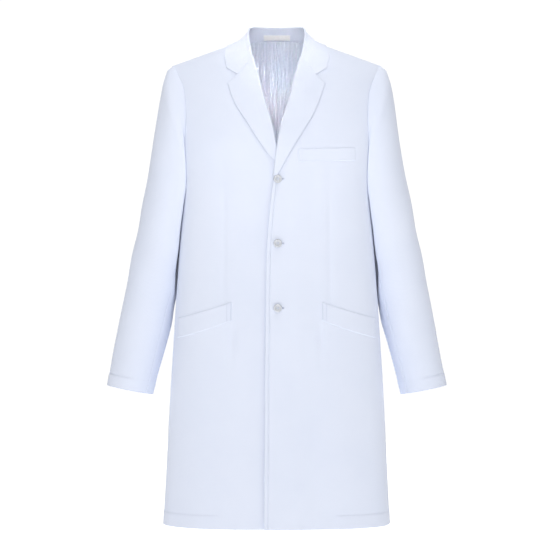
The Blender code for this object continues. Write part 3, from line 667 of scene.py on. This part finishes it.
# ---- lapels and collar ---------------------------------------------------------------------------------
def between(a, b, t):
    return np.asarray(a)[None, :] * (1 - t[:, None]) + np.asarray(b)[None, :] * t[:, None]


def bent(a, b, c, t):
    """Points at t along the line a, b, c, with b at 0.6."""
    first = between(a, b, np.clip(t / 0.6, 0, 1))
    second = between(b, c, np.clip((t - 0.6) / 0.4, 0, 1))
    return np.where(t[:, None] <= 0.6, first, second)


LAPEL_ROWS = 60
FOLD_IN = 0.0026               # from the roll line to where a lapel lies flat
FOLD_PROFILE = ((0.0022, 0.0002), (0.0008, 0.0007), (0.0002, 0.0016), (0.0006, 0.0025), (0.0020, 0.0031))
LAPEL_ACROSS = levels((0.0, 0.88, 26), (0.88, 1.0, 8))


def lapel_point(side):
    """Places of a lapel in the front view, and its height over the front."""
    v = np.linspace(0, 1, LAPEL_ROWS)
    bottom = BREAK_Z if side > 0 else -0.264
    z_in = bottom + (GORGE_TOP[1] - bottom) * v
    z_out = bottom + (LAPEL_TIP[1] - bottom) * v
    xs, zs, heights = [], [], []
    top = bent(GORGE_TOP, NOTCH, LAPEL_TIP, LAPEL_ACROSS)
    level = between(GORGE_TOP, LAPEL_TIP, LAPEL_ACROSS)
    for k in range(LAPEL_ROWS):
        start = np.array((float(curve(ROLL_LINE_X, z_in[k])) + FOLD_IN, z_in[k]))
        end = np.array((float(curve(LEFT_LAPEL_X if side > 0 else RIGHT_LAPEL_X, z_out[k])), z_out[k]))
        pull = float(smooth((v[k] - 0.6) / 0.4))
        row = between(start, end, LAPEL_ACROSS) + (top - level) * pull
        row[:, 1] += 0.0014 * pull
        width = max(end[0] - start[0], 0.004)
        belly = 0.0034 * math.sin(math.pi * (1 - v[k])) * np.exp(-(LAPEL_ACROSS * width) / 0.030)
        rise = 0.0031 + belly * smooth(LAPEL_ACROSS * width / 0.018) - 0.0006 * LAPEL_ACROSS
        xs.append([row[0, 0] - FOLD_IN + dx for dx, _ in FOLD_PROFILE] + list(row[1:, 0]))
        zs.append([row[0, 1]] * len(FOLD_PROFILE) + list(row[1:, 1]))
        heights.append([h for _, h in FOLD_PROFILE] + list(rise[1:]))
    return np.array(xs), np.array(zs), np.array(heights)


def make_lapel(side):
    hand = HAND[side]
    x, z, height = lapel_point(side)
    points, rough = front_view(x, z, side, height)
    obj = cloth_piece(f"lapel_{hand}_cloth", points, rough, COAT, DOUBLE_CLOTH)
    line, facing = points[3:, -3], rough[3:, -3]
    stitches = sewn(f"lapel_{hand}_stitching", stitch_parts(line + facing * STITCH_OUT, facing))
    declare(obj, "folded", "coat", f"lapel_{hand}")
    blend_front(obj)
    blend_front(stitches)


FOLD = ((0.0, 0.066, 0.025), (0.030, 0.059, 0.025), (0.052, 0.034, 0.022), (0.057, 0.000, 0.008),
        (0.0542, -0.028, -0.018), (0.0490, -0.0570, -0.0490))


SEAM_BEHIND = 0.56             # share of the neck seam that lies behind the shoulder


def on_body(x, z, out, front):
    angle = angle_at(x, z, front)
    return body(angle, z) + body_normal(angle, z) * out


def seam_line(t):
    """Neck seam from centre back, over the shoulder, to the top of the gorge."""
    x = NECK_POINT_X * np.sin(np.clip(t / SEAM_BEHIND, 0, 1) * math.pi / 2)
    z = np.minimum(-NECK_DROP * (x / NECK_POINT_X) ** 2, shoulder_line(x) - 0.0002)
    behind = on_body(x, z, 0.0, False)
    f = np.clip((t - SEAM_BEHIND) / (1 - SEAM_BEHIND), 0, 1)
    place = between((NECK_POINT_X, -NECK_DROP - 0.0002), GORGE_TOP, f)
    ahead = on_body(place[:, 0], place[:, 1] - 0.004 * np.sin(f * math.pi), 0.0, True)
    return np.where((t <= SEAM_BEHIND)[:, None], behind, ahead)


def edge_line(t):
    """Outer edge of the turned-down collar."""
    places = ((0.0, -0.026, False, 0.0045), (0.030, -0.0265, False, 0.0045), (0.060, -0.0285, False, 0.0038),
              (0.083, -0.0290, False, 0.0022), (0.0975, None, True, 0.0005), (0.1045, -0.0440, True, 0.0011),
              (COLLAR_TIP[0], COLLAR_TIP[1], True, 0.0026))
    stations = []
    for x, z, front, lift in places:
        if z is None:
            stations.append(np.array((x, RIDGE_Y, float(shoulder_line(x)) + lift)))
        else:
            stations.append(on_body(x, z, lift, front))
    return spline(stations, t)


def away_from_neck(points):
    out = points.copy()
    out[..., 1] -= 0.01
    out[..., 2] = 0.03
    return unit(out)


def collar_section(t, v):
    fold = spline(FOLD, t)[0]
    edge = edge_line(t)[0]
    low = on_body(NOTCH[0], NOTCH[1] + 0.0003, 0.0024, True)
    straight = between(fold, edge, v)
    notch = bent(fold, low, edge, v)
    pull = float(smooth((t - 0.80) / 0.20))
    row = straight + (notch - straight) * pull
    away = away_from_neck(straight)
    side = float(smooth((t - 0.30) / 0.25))
    swell = (0.0045 - 0.0075 * side) * np.sin(math.pi * v ** 0.8) * (1 - pull)
    rise = 0.0026 * (1 - pull) * smooth(v / 0.05) + swell
    top = 0.0012 * np.sin(math.pi * np.clip(v / 0.10, 0, 1)) * (1 - pull)
    row = row + away * rise[:, None]
    row[:, 2] += top
    return row, away


def collar_sides():
    return np.concatenate([-np.linspace(1.0, 0.02, 64), [0.0], np.linspace(0.02, 1.0, 64)])


def mirrored_rows(places, section):
    """Grid and rough normals whose rows are section(|place|), mirrored where a place is on the right."""
    rows, normals = [], []
    for place in places:
        row, away = section(abs(place))
        flip = np.array((-1.0 if place < 0 else 1.0, 1.0, 1.0))
        rows.append(row * flip)
        normals.append(away * flip)
    return np.array(rows), np.array(normals)


def stand_section(t):
    at = np.array([t])
    row = between(seam_line(at)[0], spline(FOLD, at)[0], 0.02 + 0.97 * np.linspace(0.0, 1.0, 14))
    return row, away_from_neck(row)


def label_section(x):
    seam_t = SEAM_BEHIND * math.asin(x / NECK_POINT_X) * 2 / math.pi
    fold_t = 0.2 * x / FOLD[1][0]
    row = between(seam_line(np.array([seam_t]))[0], spline(FOLD, fold_t)[0], np.linspace(*LABEL_UP, 10))
    away = away_from_neck(row)
    return row - away * LABEL_INSET, -away


def make_collar():
    v = levels((0.0, 0.10, 8), (0.10, 0.90, 20), (0.90, 1.0, 6))
    points, rough = mirrored_rows(collar_sides(), lambda t: collar_section(t, v))
    fall = cloth_piece("collar_fall_cloth", points, rough, COAT, DOUBLE_CLOTH)
    line, facing = points[2:-2, -3], grid_normals(points, rough)[2:-2, -3]
    stitches = sewn("collar_stitching", stitch_parts(line + facing * STITCH_OUT, facing))
    declare(fall, "folded", "coat", "collar_fall", pieces=[stitches])
    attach(fall, "coat_body")
    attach(stitches, "coat_body")
    points, rough = mirrored_rows(collar_sides() * 0.985, stand_section)
    stand = cloth_piece("collar_stand_cloth", points, rough, COAT, DOUBLE_CLOTH)
    declare(stand, "stretched", "coat", "collar_stand")
    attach(stand, "coat_body")


LABEL_HALF_WIDTH = 0.0285
LABEL_UP = (0.05, 0.44)        # how far up the stand the label reaches
LABEL_INSET = 0.0032
LABEL_STITCH = (0.0016, 0.0012, 0.0002)   # pitch, length and radius


def make_label():
    """Blank woven label, sewn to the stand near both ends."""
    points, rough = mirrored_rows(np.linspace(-LABEL_HALF_WIDTH, LABEL_HALF_WIDTH, 40), label_section)
    label = cloth_piece("neck_label_woven", points, rough, LABEL, LABEL_CLOTH)
    ends = []
    for column in (1, -2):
        ends += stitch_parts(points[column] + rough[column] * 0.0002, rough[column], *LABEL_STITCH)
    stitches = sewn("label_stitching", ends)
    declare(label, "stretched", "label", "neck_label", pieces=[stitches])
    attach(label, "coat_body")
    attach(stitches, "coat_body")


LINING_HALF = 0.116
LINING_LOW_Z = -0.385
PLEAT = 0.0074                 # from one pleat to the next
PLEAT_RISE = 0.0027
CENTRE_SEAM_DEPTH = 0.0030


def make_lining():
    """Half lining of fine upright pleats, gathered onto the neck seam."""
    share = levels((0.0, 0.85, 76), (0.85, 1.0, 26))[:, None]
    across = np.linspace(-LINING_HALF, LINING_HALF, 420)[None, :]
    neck = -0.0014 - NECK_DROP * (across / NECK_POINT_X) ** 2
    shoulder = shoulder_line(across) - 0.004 - 0.016 * smooth((np.abs(across) - 0.060) / 0.030)
    z = LINING_LOW_Z + (np.minimum(neck, shoulder) - LINING_LOW_Z) * share
    wander = 0.0012 * np.sin(z * 70.0 + across * 160.0) + 0.0009 * np.sin(z * 31.0 + 2.0)
    place = across + wander
    pleat = (((place / PLEAT) % 1.0) - 0.5) * PLEAT
    fine = np.sin(place / (PLEAT / 2) * 2 * math.pi + 6 * z)
    height = -0.0048 + PLEAT_RISE * hump(pleat, 0.0010) + 0.0004 * fine
    height = height - CENTRE_SEAM_DEPTH * hump(across, 0.0012)
    angle = angle_at(np.repeat(across, len(share), 0), z, False)
    n = body_normal(angle, z)
    points = body(angle, z) + n * height[..., None]
    lining = cloth_piece("back_lining_pleated", points, -n, LINING, LINING_CLOTH)
    declare(lining, "gathered", "lining", "back_lining")
    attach(lining, "coat_body")


# ---- pockets -------------------------------------------------------------------------------------------
def strip_grid(corners, rows, cols, bow=0.0):
    """Front-view places of a four-cornered strip; bow lets its long edges sag."""
    low_in, low_out, high_out, high_in = corners
    u = np.linspace(0, 1, cols)
    v = np.linspace(0, 1, rows)
    grid = np.array([between(low_in, low_out, u) * (1 - k) + between(high_in, high_out, u) * k for k in v])
    grid[..., 1] -= bow * np.sin(math.pi * u)[None, :]
    return grid[..., 0], grid[..., 1]


def strip_line(corners, start, end, count, bow=0.0):
    """Front-view line between two places (across, up) of a strip."""
    low_in, low_out, high_out, high_in = corners
    t = np.linspace(0, 1, count)
    u = start[0] + (end[0] - start[0]) * t
    v = (start[1] + (end[1] - start[1]) * t)[:, None]
    place = between(low_in, low_out, u) * (1 - v) + between(high_in, high_out, u) * v
    place[:, 1] -= bow * np.sin(math.pi * u)
    return place[:, 0], place[:, 1]


END_STITCH_AT = (0.010, 0.065, 0.935, 0.990)   # shares of a welt's width
BAR_TACK_AT = (0.012, 0.082)
BAR_TACK = (0.0009, 0.0022, 0.00034)           # pitch, length and radius


def make_welt(name, side, corners, bow, tack, *replaced):
    """Pocket welt: a folded strip with turned edges, stitched at both ends, and tacked at its inner end."""
    x, z = strip_grid(corners, 16, 50, bow)
    v = np.linspace(0, 1, 16)[:, None]
    lift = 0.0007 if tack else 0.0010
    height = lift + 0.0003 * np.sin(math.pi * v) + 0.0003 * smooth((v - 0.75) / 0.25)
    points, rough = front_view(x, z, side, height)
    welt = cloth_piece(name, points, rough, COAT, DOUBLE_CLOTH)

    def row(start, end, count, rise, *stitch):
        line, facing = front_view(*strip_line(corners, start, end, count, bow), side, lift + rise)
        return stitch_parts(line, facing, *stitch)

    lines = []
    for across in END_STITCH_AT:
        lines += row((across, 0.03), (across, 0.97), 20, 0.0003)
    lines += row((0.01, 0.045), (0.99, 0.045), 60, 0.0001)
    stitches = sewn(name + "_stitching", lines)
    declare(welt, "folded", "coat", *replaced)
    blend_front(welt)
    blend_front(stitches)
    if tack:
        bars = []
        for across in BAR_TACK_AT:
            bars += row((across, 0.05), (across, 0.97), 24, 0.0006, *BAR_TACK)
        blend_front(sewn(name + "_bar_tacks", bars, TACK))


def make_bag(name, side, corners, depth, *replaced):
    """Pocket bag: two thin layers hanging flat inside the front."""
    x, z = strip_grid(corners, 30, 22)
    u = np.linspace(0, 1, 22)[None, :]
    v = np.linspace(0, 1, 30)[:, None]
    round_off = 0.012 * (1 - smooth(v / 0.15)) * (2 * np.abs(u - 0.5)) ** 4
    height = depth - 0.0012 * np.sin(math.pi * u) * np.sin(math.pi * v)
    points, rough = front_view(x, z + round_off, side, height)
    bag = cloth_piece(name, points, rough, LINING, BAG_CLOTH)
    declare(bag, "hung", "lining", *replaced)
    blend_front(bag)


# ---- sleeves -------------------------------------------------------------------------------------------
def armhole_point(theta):
    """Seam where the sleeve starts: theta 0 is the shoulder tip, pi the underarm."""
    half = (ARMHOLE_TOP_Z - UNDERARM_Z) / 2
    z = UNDERARM_Z + half + half * np.cos(theta)
    x = curve(ARMHOLE_X, z)
    front = body(angle_at(x, z), z)[..., 1]
    back = body(angle_at(x, z, False), z)[..., 1]
    return np.stack([x + ARMHOLE_GAP, np.where(np.sin(theta) >= 0, front, back), z], -1)


def tube_point(theta, s):
    """Plain tapering tube on the arm's line, from the shoulder at s = 0 to the cuff at s = 1."""
    top, bottom = np.array(SLEEVE_OUTER[0]), np.array(SLEEVE_OUTER[1])
    along = (bottom - top) / np.linalg.norm(bottom - top)
    across = np.array((-along[1], along[0]))
    inwards = curve(SLEEVE_WIDTH, s) / 2 * (np.cos(theta) - 1)
    x = top[0] + (bottom[0] - top[0]) * s + across[0] * inwards
    z = top[1] + (bottom[1] - top[1]) * s + across[1] * inwards
    return np.stack([x, curve(SLEEVE_MIDDLE_Y, s) - curve(SLEEVE_DEPTH, s) / 2 * np.sin(theta), z], -1)


def tube_start(theta):
    return UNDERARM_START * (1 - np.cos(theta)) / 2


def sleeve_surface(theta, v):
    """Left sleeve: theta 0 is its outer side, pi its inner side; v runs from the armhole seam to the cuff."""
    under = (1 - np.cos(theta)) / 2
    start = tube_start(theta)
    ease = np.maximum(0.0, 1 - v / (HEAD_EASE + UNDERARM_EASE * under ** 2)) ** 2
    points = tube_point(theta, start + (1 - start) * v)
    points = points + (armhole_point(theta) - tube_point(theta, start)) * ease[..., None]
    swell = HEAD_SWELL * (1 - under) * smooth(v / HEAD_RISE) * (1 - smooth((v - HEAD_RISE) / HEAD_FALL))
    points[..., 0] += swell
    points[..., 2] += HEAD_LIFT * np.maximum(0, 1 - 3 * under) ** 2 * (1 - smooth(v / 0.03))
    return clear_of_body(points)


def clear_of_body(points):
    """Eases points out sideways where they would lie inside the body."""
    x, y, z = points[..., 0], points[..., 1], points[..., 2]
    depth = np.where(y < 0, curve(FRONT_DEPTH, z), curve(BACK_DEPTH, z))
    level = np.maximum(0.0, 1 - (np.abs(y) / depth) ** SECTION_POWER) ** (1 / SECTION_POWER)
    side = curve(HALF_WIDTH, z) * level
    side = np.where(z > UNDERARM_Z, np.minimum(side, curve(ARMHOLE_X, z)), side)
    least = side + ARMHOLE_GAP + (SLEEVE_CLEARANCE - ARMHOLE_GAP) * smooth((UNDERARM_Z - z) / 0.04)
    over = (x - least) / CLEAR_EASE
    eased = np.where(over > 20, over, np.log1p(np.exp(np.minimum(over, 20))))
    return np.stack([least + CLEAR_EASE * eased, y, z], -1)


def sleeve_drape(theta, s, side):
    """Faint hollows at the elbow and along the arm; nothing at the armhole and the cuff."""
    hold = smooth(s / 0.12) * smooth((1 - s) / 0.10)
    elbow = hump(s - 0.52, 0.16)
    waves = (np.sin(2 * theta + 11 * s + side) * 0.5 + np.sin(3 * theta - 17 * s + 2 * side) * 0.3
             + np.sin(theta * 5 + 23 * s) * 0.12)
    return hold * (0.0014 * waves + 0.0012 * elbow * np.sin(34 * s + theta))


def sleeve_at(theta, v, side, out=0.0):
    """Points and normals of a sleeve, with its drape."""
    step = 0.004
    along = sleeve_surface(theta, np.clip(v + step, 0, 1)) - sleeve_surface(theta, np.clip(v - step, 0, 1))
    n = unit(np.cross(sleeve_surface(theta + step, v) - sleeve_surface(theta - step, v), along))
    height = sleeve_drape(theta, v, side) + out
    flip = np.array((side, 1.0, 1.0))
    return (sleeve_surface(theta, v) + n * np.asarray(height)[..., None]) * flip, n * flip


def at_tube(theta, s):
    """The v of a place s down the tube."""
    start = tube_start(theta)
    return (s - start) / (1 - start)


# how far a sleeve's first rows lie under the body's edge: inwards, and down towards the armhole's middle
SEAM_TUCK = ((0.0052, 0.0023), (0.0034, 0.0017), (0.0016, 0.0008), (0.0005, 0.0002))
CUFF_S = 0.9605                # places of the cuff's two rows of stitches, down the tube
CUFF_EDGE_S = 0.989
SLEEVE_S = np.concatenate([[0.0, 0.0012, 0.003, 0.006, 0.010], np.linspace(0.02, 0.93, 96),
                           [0.945, 0.955, 0.958, CUFF_S, 0.963, 0.967, 0.98, 0.986, CUFF_EDGE_S,
                            0.992, 0.998, 1.0]])


def blend_sleeve(obj):
    """Bakes the placement of a sleeve piece into its mesh."""
    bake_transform(obj)


def make_sleeve_piece(name, side, first, last, count, replaced):
    ends = np.array((0.0, 0.010, 0.028, 0.05))
    middle = np.linspace(first + 0.08, last - 0.08, count)
    angles = np.concatenate([first + 0.001 + ends, middle, (last - 0.001 - ends)[::-1]])
    theta, s = np.meshgrid(angles, SLEEVE_S)
    out = seam_dip(theta.shape, True)
    down = tube_start(theta) + (1 - tube_start(theta)) * s
    out = out + 0.0006 * smooth((down - CUFF_S) / 0.003) - 0.0005 * hump(down - CUFF_S, 0.0018)
    out = out - 0.0004 * hump(down - CUFF_EDGE_S, 0.0015)
    points, rough = sleeve_at(theta, s, side, out)
    centre = np.array((0.0, 0.0, (ARMHOLE_TOP_Z + UNDERARM_Z) / 2))
    for row, (across, depth) in enumerate(SEAM_TUCK):
        radial = (points[row] - centre) * np.array((0.0, 1.0, 1.0))
        under = (1 - np.cos(theta[row])) / 2
        points[row] -= unit(radial) * (depth * smooth(0.25 + under * 4))[:, None]
        points[row, :, 0] -= side * across
    obj = cloth_piece(name, points, rough, COAT)
    declare(obj, "hung", "coat", replaced)
    blend_sleeve(obj)


def sleeve_stitching(side):
    hand = HAND[side]
    theta = np.linspace(-math.pi, math.pi, 160)
    parts = []
    for place in (CUFF_S, CUFF_EDGE_S):
        parts += stitch_parts(*sleeve_at(theta, at_tube(theta, place), side, STITCH_OUT))
    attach(sewn(f"cuff_{hand}_stitching", parts), "sleeve_" + hand)


# ---- long lines of stitching on the body ---------------------------------------------------------------
def hem_stitching(side):
    hand = HAND[side]
    z = HEM_Z + HEM_DEPTH
    angle = np.linspace(float(angle_at(0.118, -0.97)), math.pi / 2 - 0.002, 140)
    parts = stitch_parts(*front_at(angle, np.full(140, z), side, 0.0002))
    blend_front(sewn(f"hem_front_{hand}_stitching", parts))
    angle = np.linspace(0.004, math.pi / 2 - 0.002, 200)
    parts = stitch_parts(*back_at(angle, np.full(200, z), side, 0.0002))
    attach(sewn(f"hem_back_{hand}_stitching", parts), "coat_body")


def edge_stitching(side):
    z = np.linspace(HEM_Z + 0.004, BREAK_Z, 260)
    parts = stitch_parts(*front_view(neck_edge(z, side) + EDGE_STITCH, z, side))
    blend_front(sewn(f"front_edge_{HAND[side]}_stitching", parts))


# ---- buttons and buttonholes ---------------------------------------------------------------------------
BUTTON_PROFILE = ((0.0, 0.0019), (0.0034, 0.0019), (0.0046, 0.0022), (0.0056, 0.0030), (0.0066, 0.0033),
                  (0.0077, 0.0031), (0.0083, 0.0024), (0.0085, 0.0015), (0.0082, 0.0006), (0.0072, 0.0001),
                  (0.0, 0.0))
THREAD_HOLE_R = 0.00095
THREAD_PITCH = 0.0021


def turned(name, profile, sides, place, material):
    """Solid turned about a line along Y: profile is (radius, height towards the front)."""
    work = bmesh.new()
    rings = []
    for radius, height in profile:
        count = 1 if radius == 0 else sides
        ring = []
        for k in range(count):
            turn = 2 * math.pi * k / sides
            ring.append(work.verts.new((place[0] + radius * math.cos(turn), place[1] - height,
                                        place[2] + radius * math.sin(turn))))
        rings.append(ring)
    for first, second in zip(rings, rings[1:]):
        for k in range(sides):
            n = (k + 1) % sides
            corners = [first[k % len(first)], first[n % len(first)],
                       second[n % len(second)], second[k % len(second)]]
            work.faces.new(list(dict.fromkeys(corners)))
    bmesh.ops.recalc_face_normals(work, faces=work.faces)
    mesh = bpy.data.meshes.new(name)
    work.to_mesh(mesh)
    work.free()
    mesh.materials.append(material)
    smooth_faces(mesh)
    return placed(name, mesh)


def cut_holes(obj, cutters):
    for tool in cutters:
        modifier = obj.modifiers.new("hole", "BOOLEAN")
        modifier.operation = "DIFFERENCE"
        modifier.object = tool
    bpy.context.view_layer.update()
    shape = bpy.data.meshes.new_from_object(obj.evaluated_get(bpy.context.evaluated_depsgraph_get()))
    obj.modifiers.clear()
    obj.data = shape
    obj.data.set_sharp_from_angle(angle=math.radians(40))
    for tool in cutters:
        bpy.data.objects.remove(tool, do_unlink=True)


BUTTON_BACK = 0.0060           # from the coat's surface to a button's back
HOLE_DEPTHS = (0.006, -0.001)
ACROSS, INWARDS, UP = (np.array((row,)) for row in ((1.0, 0.0, 0.0), (0.0, 1.0, 0.0), (0.0, 0.0, 1.0)))
SHANK_STRANDS = 9
SHANK_R = 0.0011


def make_button(which, z):
    """Four-hole button, its crossing threads, and the shank of thread behind it."""
    back = float(body(angle_at(BUTTON_X, z), z)[1]) - BUTTON_BACK
    disc = turned(f"button_{which}_pearl", BUTTON_PROFILE, 72, (BUTTON_X, back, z), PEARL)
    front, behind = HOLE_DEPTHS
    rod = ((0.0, front), (THREAD_HOLE_R, front), (THREAD_HOLE_R, behind), (0.0, behind))
    holes, centres = [], []
    for k in range(4):
        turn = math.pi / 4 + k * math.pi / 2
        centre = (BUTTON_X + THREAD_PITCH * math.cos(turn), back + 0.001, z + THREAD_PITCH * math.sin(turn))
        centres.append(centre)
        holes.append(turned(f"hole_{which}_{k}", rod, 20, centre, PEARL))
    cut_holes(disc, holes)
    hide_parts("button_" + which)
    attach(disc, "button_" + which)

    parts = []
    for low, high in ((centres[3], centres[0]), (centres[2], centres[1])):
        for shift in (-0.00042, 0.0, 0.00042):
            middle = (np.array(low) + np.array(high)) / 2
            middle[0] += shift
            middle[1] = back - 0.00205
            parts += capsules(middle[None, :], UP, -INWARDS, 0.0046, 0.00026)
    for centre in centres:
        for shift in (-0.0003, 0.0003):
            middle = np.array(((centre[0] + shift, back - 0.0002, centre[2]),))
            parts += capsules(middle, INWARDS, ACROSS, 0.0042, 0.00028)
    for k in range(SHANK_STRANDS):
        turn = 2 * math.pi * k / SHANK_STRANDS
        x, height = BUTTON_X + SHANK_R * math.cos(turn), z + SHANK_R * math.sin(turn)
        lean = unit(np.array(((0.12 * math.cos(turn + 1.2), 1.0, 0.12 * math.sin(turn + 1.2)),)))
        parts += capsules(np.array(((x, back + 0.0029, height),)), lean, ACROSS, 0.0052, 0.00045)
    sewing = sewn(f"button_{which}_sewing", parts, TACK)
    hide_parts("thread_" + which)
    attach(sewing, "button_" + which)


SLIT = (-0.0062, 0.0142)       # a buttonhole's ends
SLIT_HALF = 0.00028
RIM_HALF = 0.0011              # from a slit to the middle of its worked edge
RIM_PITCH = 0.00055
RIM_OUT = 0.00025
RIM_THREAD_R = 0.00027


def make_buttonhole(which, z):
    """Worked slit: a row of close stitches on each side, barred at both ends, over a strip of painted shade.
    """
    start, end = SLIT
    xs = np.arange(start, end, RIM_PITCH)
    parts = []
    for edge in (-1, 1):
        line, facing = front_view(xs, np.full(len(xs), z + edge * RIM_HALF), 1, RIM_OUT)
        parts += capsules(line, np.repeat(UP, len(xs), 0), facing, 0.0019, RIM_THREAD_R)
    ups = np.linspace(-0.0016, 0.0016, 7)
    for x in (start - 0.0004, end + 0.0003):
        line, facing = front_view(np.full(len(ups), x), z + ups, 1, RIM_OUT)
        parts += capsules(line, np.repeat(ACROSS, len(ups), 0), facing, 0.0016, RIM_THREAD_R)
    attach(sewn(f"buttonhole_{which}_stitching", parts, TACK), "front_left")
    # the slit's opening is a thin dark strip laid on the front: painted shade
    low, high = z - SLIT_HALF, z + SLIT_HALF
    x, height = strip_grid(((start, low), (end, low), (end, high), (start, high)), 3, 16)
    points, rough = front_view(x, height, 1, 0.00018)
    slit = cloth_piece(f"buttonhole_{which}_slit", points, rough, SHADE, 0.0002)
    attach(slit, "front_left")


# ---- the room ------------------------------------------------------------------------------------------
FLOOR_Z = -1.32


def make_stage():
    material, shader = new_material("pale_floor", 0.9)
    noise = add_node(material, "ShaderNodeTexNoise", Scale=3.0, Detail=2.0)
    object_place(material, noise)
    ramp_colour(material, shader, noise.outputs["Fac"], (0.93, 0.93, 0.935, 1), (0.96, 0.96, 0.96, 1))
    shader.inputs["Emission Color"].default_value = (1, 1, 1, 1)
    shader.inputs["Emission Strength"].default_value = 0.88
    bpy.ops.mesh.primitive_circle_add(vertices=96, radius=30.0, fill_type="NGON", location=(0, 0, FLOOR_Z))
    floor = bpy.context.object
    floor.name = "pale_floor"
    floor.data.materials.append(material)


def area_light(name, place, target, size, power, spread=180):
    data = bpy.data.lights.new(name, "AREA")
    data.shape = "DISK"
    data.size = size
    data.energy = power
    data.spread = math.radians(spread)
    obj = placed(name, data)
    obj.location = place
    obj.rotation_euler = (Vector(target) - Vector(place)).to_track_quat("-Z", "Y").to_euler()


def make_light():
    """A white room as the camera sees it, a dim one as light, and soft lamps in front, behind and above."""
    world = bpy.data.worlds.new("studio")
    bpy.context.scene.world = world
    world.use_nodes = True
    tree = world.node_tree
    tree.nodes.clear()
    output = tree.nodes.new("ShaderNodeOutputWorld")
    mix = tree.nodes.new("ShaderNodeMixShader")
    for socket, colour, strength in ((1, (0.97, 0.98, 1.0, 1), 0.20), (2, (1, 1, 1, 1), 1.05)):
        background = tree.nodes.new("ShaderNodeBackground")
        background.inputs["Color"].default_value = colour
        background.inputs["Strength"].default_value = strength
        tree.links.new(background.outputs[0], mix.inputs[socket])
    path = tree.nodes.new("ShaderNodeLightPath")
    tree.links.new(path.outputs["Is Camera Ray"], mix.inputs["Fac"])
    tree.links.new(mix.outputs[0], output.inputs["Surface"])
    for name, side in (("front", -1), ("back", 1)):
        area_light(name + "_soft", (0.2 * side, 6.0 * side, 0.5), (0, 0, -0.45), 2.6, 35)
        area_light(name + "_key", (0.04 * side, 1.3 * side, 0.72), (0, 0, -0.05), 0.6, 5.6)
        area_light(name + "_top", (0.0, 0.9 * side, 2.3), (0, 0, -0.1), 1.4, 20.5)
    area_light("neck_fill", (0.0, -1.3, 0.45), (0, 0.09, -0.068), 0.12, 0.033, 7.6)
    bpy.context.scene.view_settings.view_transform = "Standard"


CAMERA_DISTANCE = 4.0
VIEW_WIDTH = 1.148             # what the camera takes in at that distance


def make_camera():
    data = bpy.data.cameras.new("camera")
    data.sensor_width = 36.0
    data.lens = data.sensor_width * CAMERA_DISTANCE / VIEW_WIDTH
    camera = placed("camera", data)
    camera.location = (0.0065, -CAMERA_DISTANCE, -0.500)
    camera.rotation_euler = (math.pi / 2, 0, 0)
    bpy.context.scene.camera = camera


HIP_WELT = ((0.0905, -0.5810), (0.2000, -0.6170), (0.2000, -0.5770), (0.0905, -0.5440))
HIP_BAG = ((0.1000, -0.7400), (0.1930, -0.7400), (0.1930, -0.6050), (0.1000, -0.5750))
BREAST_WELT = ((0.0430, -0.2640), (0.1570, -0.2600), (0.1570, -0.2350), (0.0430, -0.2400))
BREAST_BAG = ((0.0480, -0.3900), (0.1520, -0.3900), (0.1520, -0.2560), (0.0480, -0.2600))


def main():
    make_camera()
    make_light()
    make_stage()
    for side, hand in HAND.items():
        make_front(side)
        make_facing(side)
        make_back(side)
        make_lapel(side)
        hem_stitching(side)
        edge_stitching(side)
        make_welt(f"hip_welt_{hand}_cloth", side, HIP_WELT, 0.0015, True, f"hip_welt_{hand}")
        make_bag(f"hip_pocket_bag_{hand}_cloth", side, HIP_BAG, -0.0036, f"hip_pocket_bag_{hand}")
        make_sleeve_piece(f"sleeve_top_{hand}_cloth", side, BACK_SEAM, FRONT_SEAM, 60, f"sleeve_top_{hand}")
        make_sleeve_piece(f"sleeve_under_{hand}_cloth", side, FRONT_SEAM, 2 * math.pi + BACK_SEAM, 30,
                          f"sleeve_under_{hand}")
        sleeve_stitching(side)
    make_welt("breast_welt_cloth", 1, BREAST_WELT, 0.0, False, "breast_welt")
    make_bag("breast_pocket_bag_cloth", 1, BREAST_BAG, -0.0060, "breast_pocket_bag")
    make_collar()
    make_label()
    make_lining()
    for which, z in BUTTON_Z.items():
        make_button(which, z)
        make_buttonhole(which, z)


main()
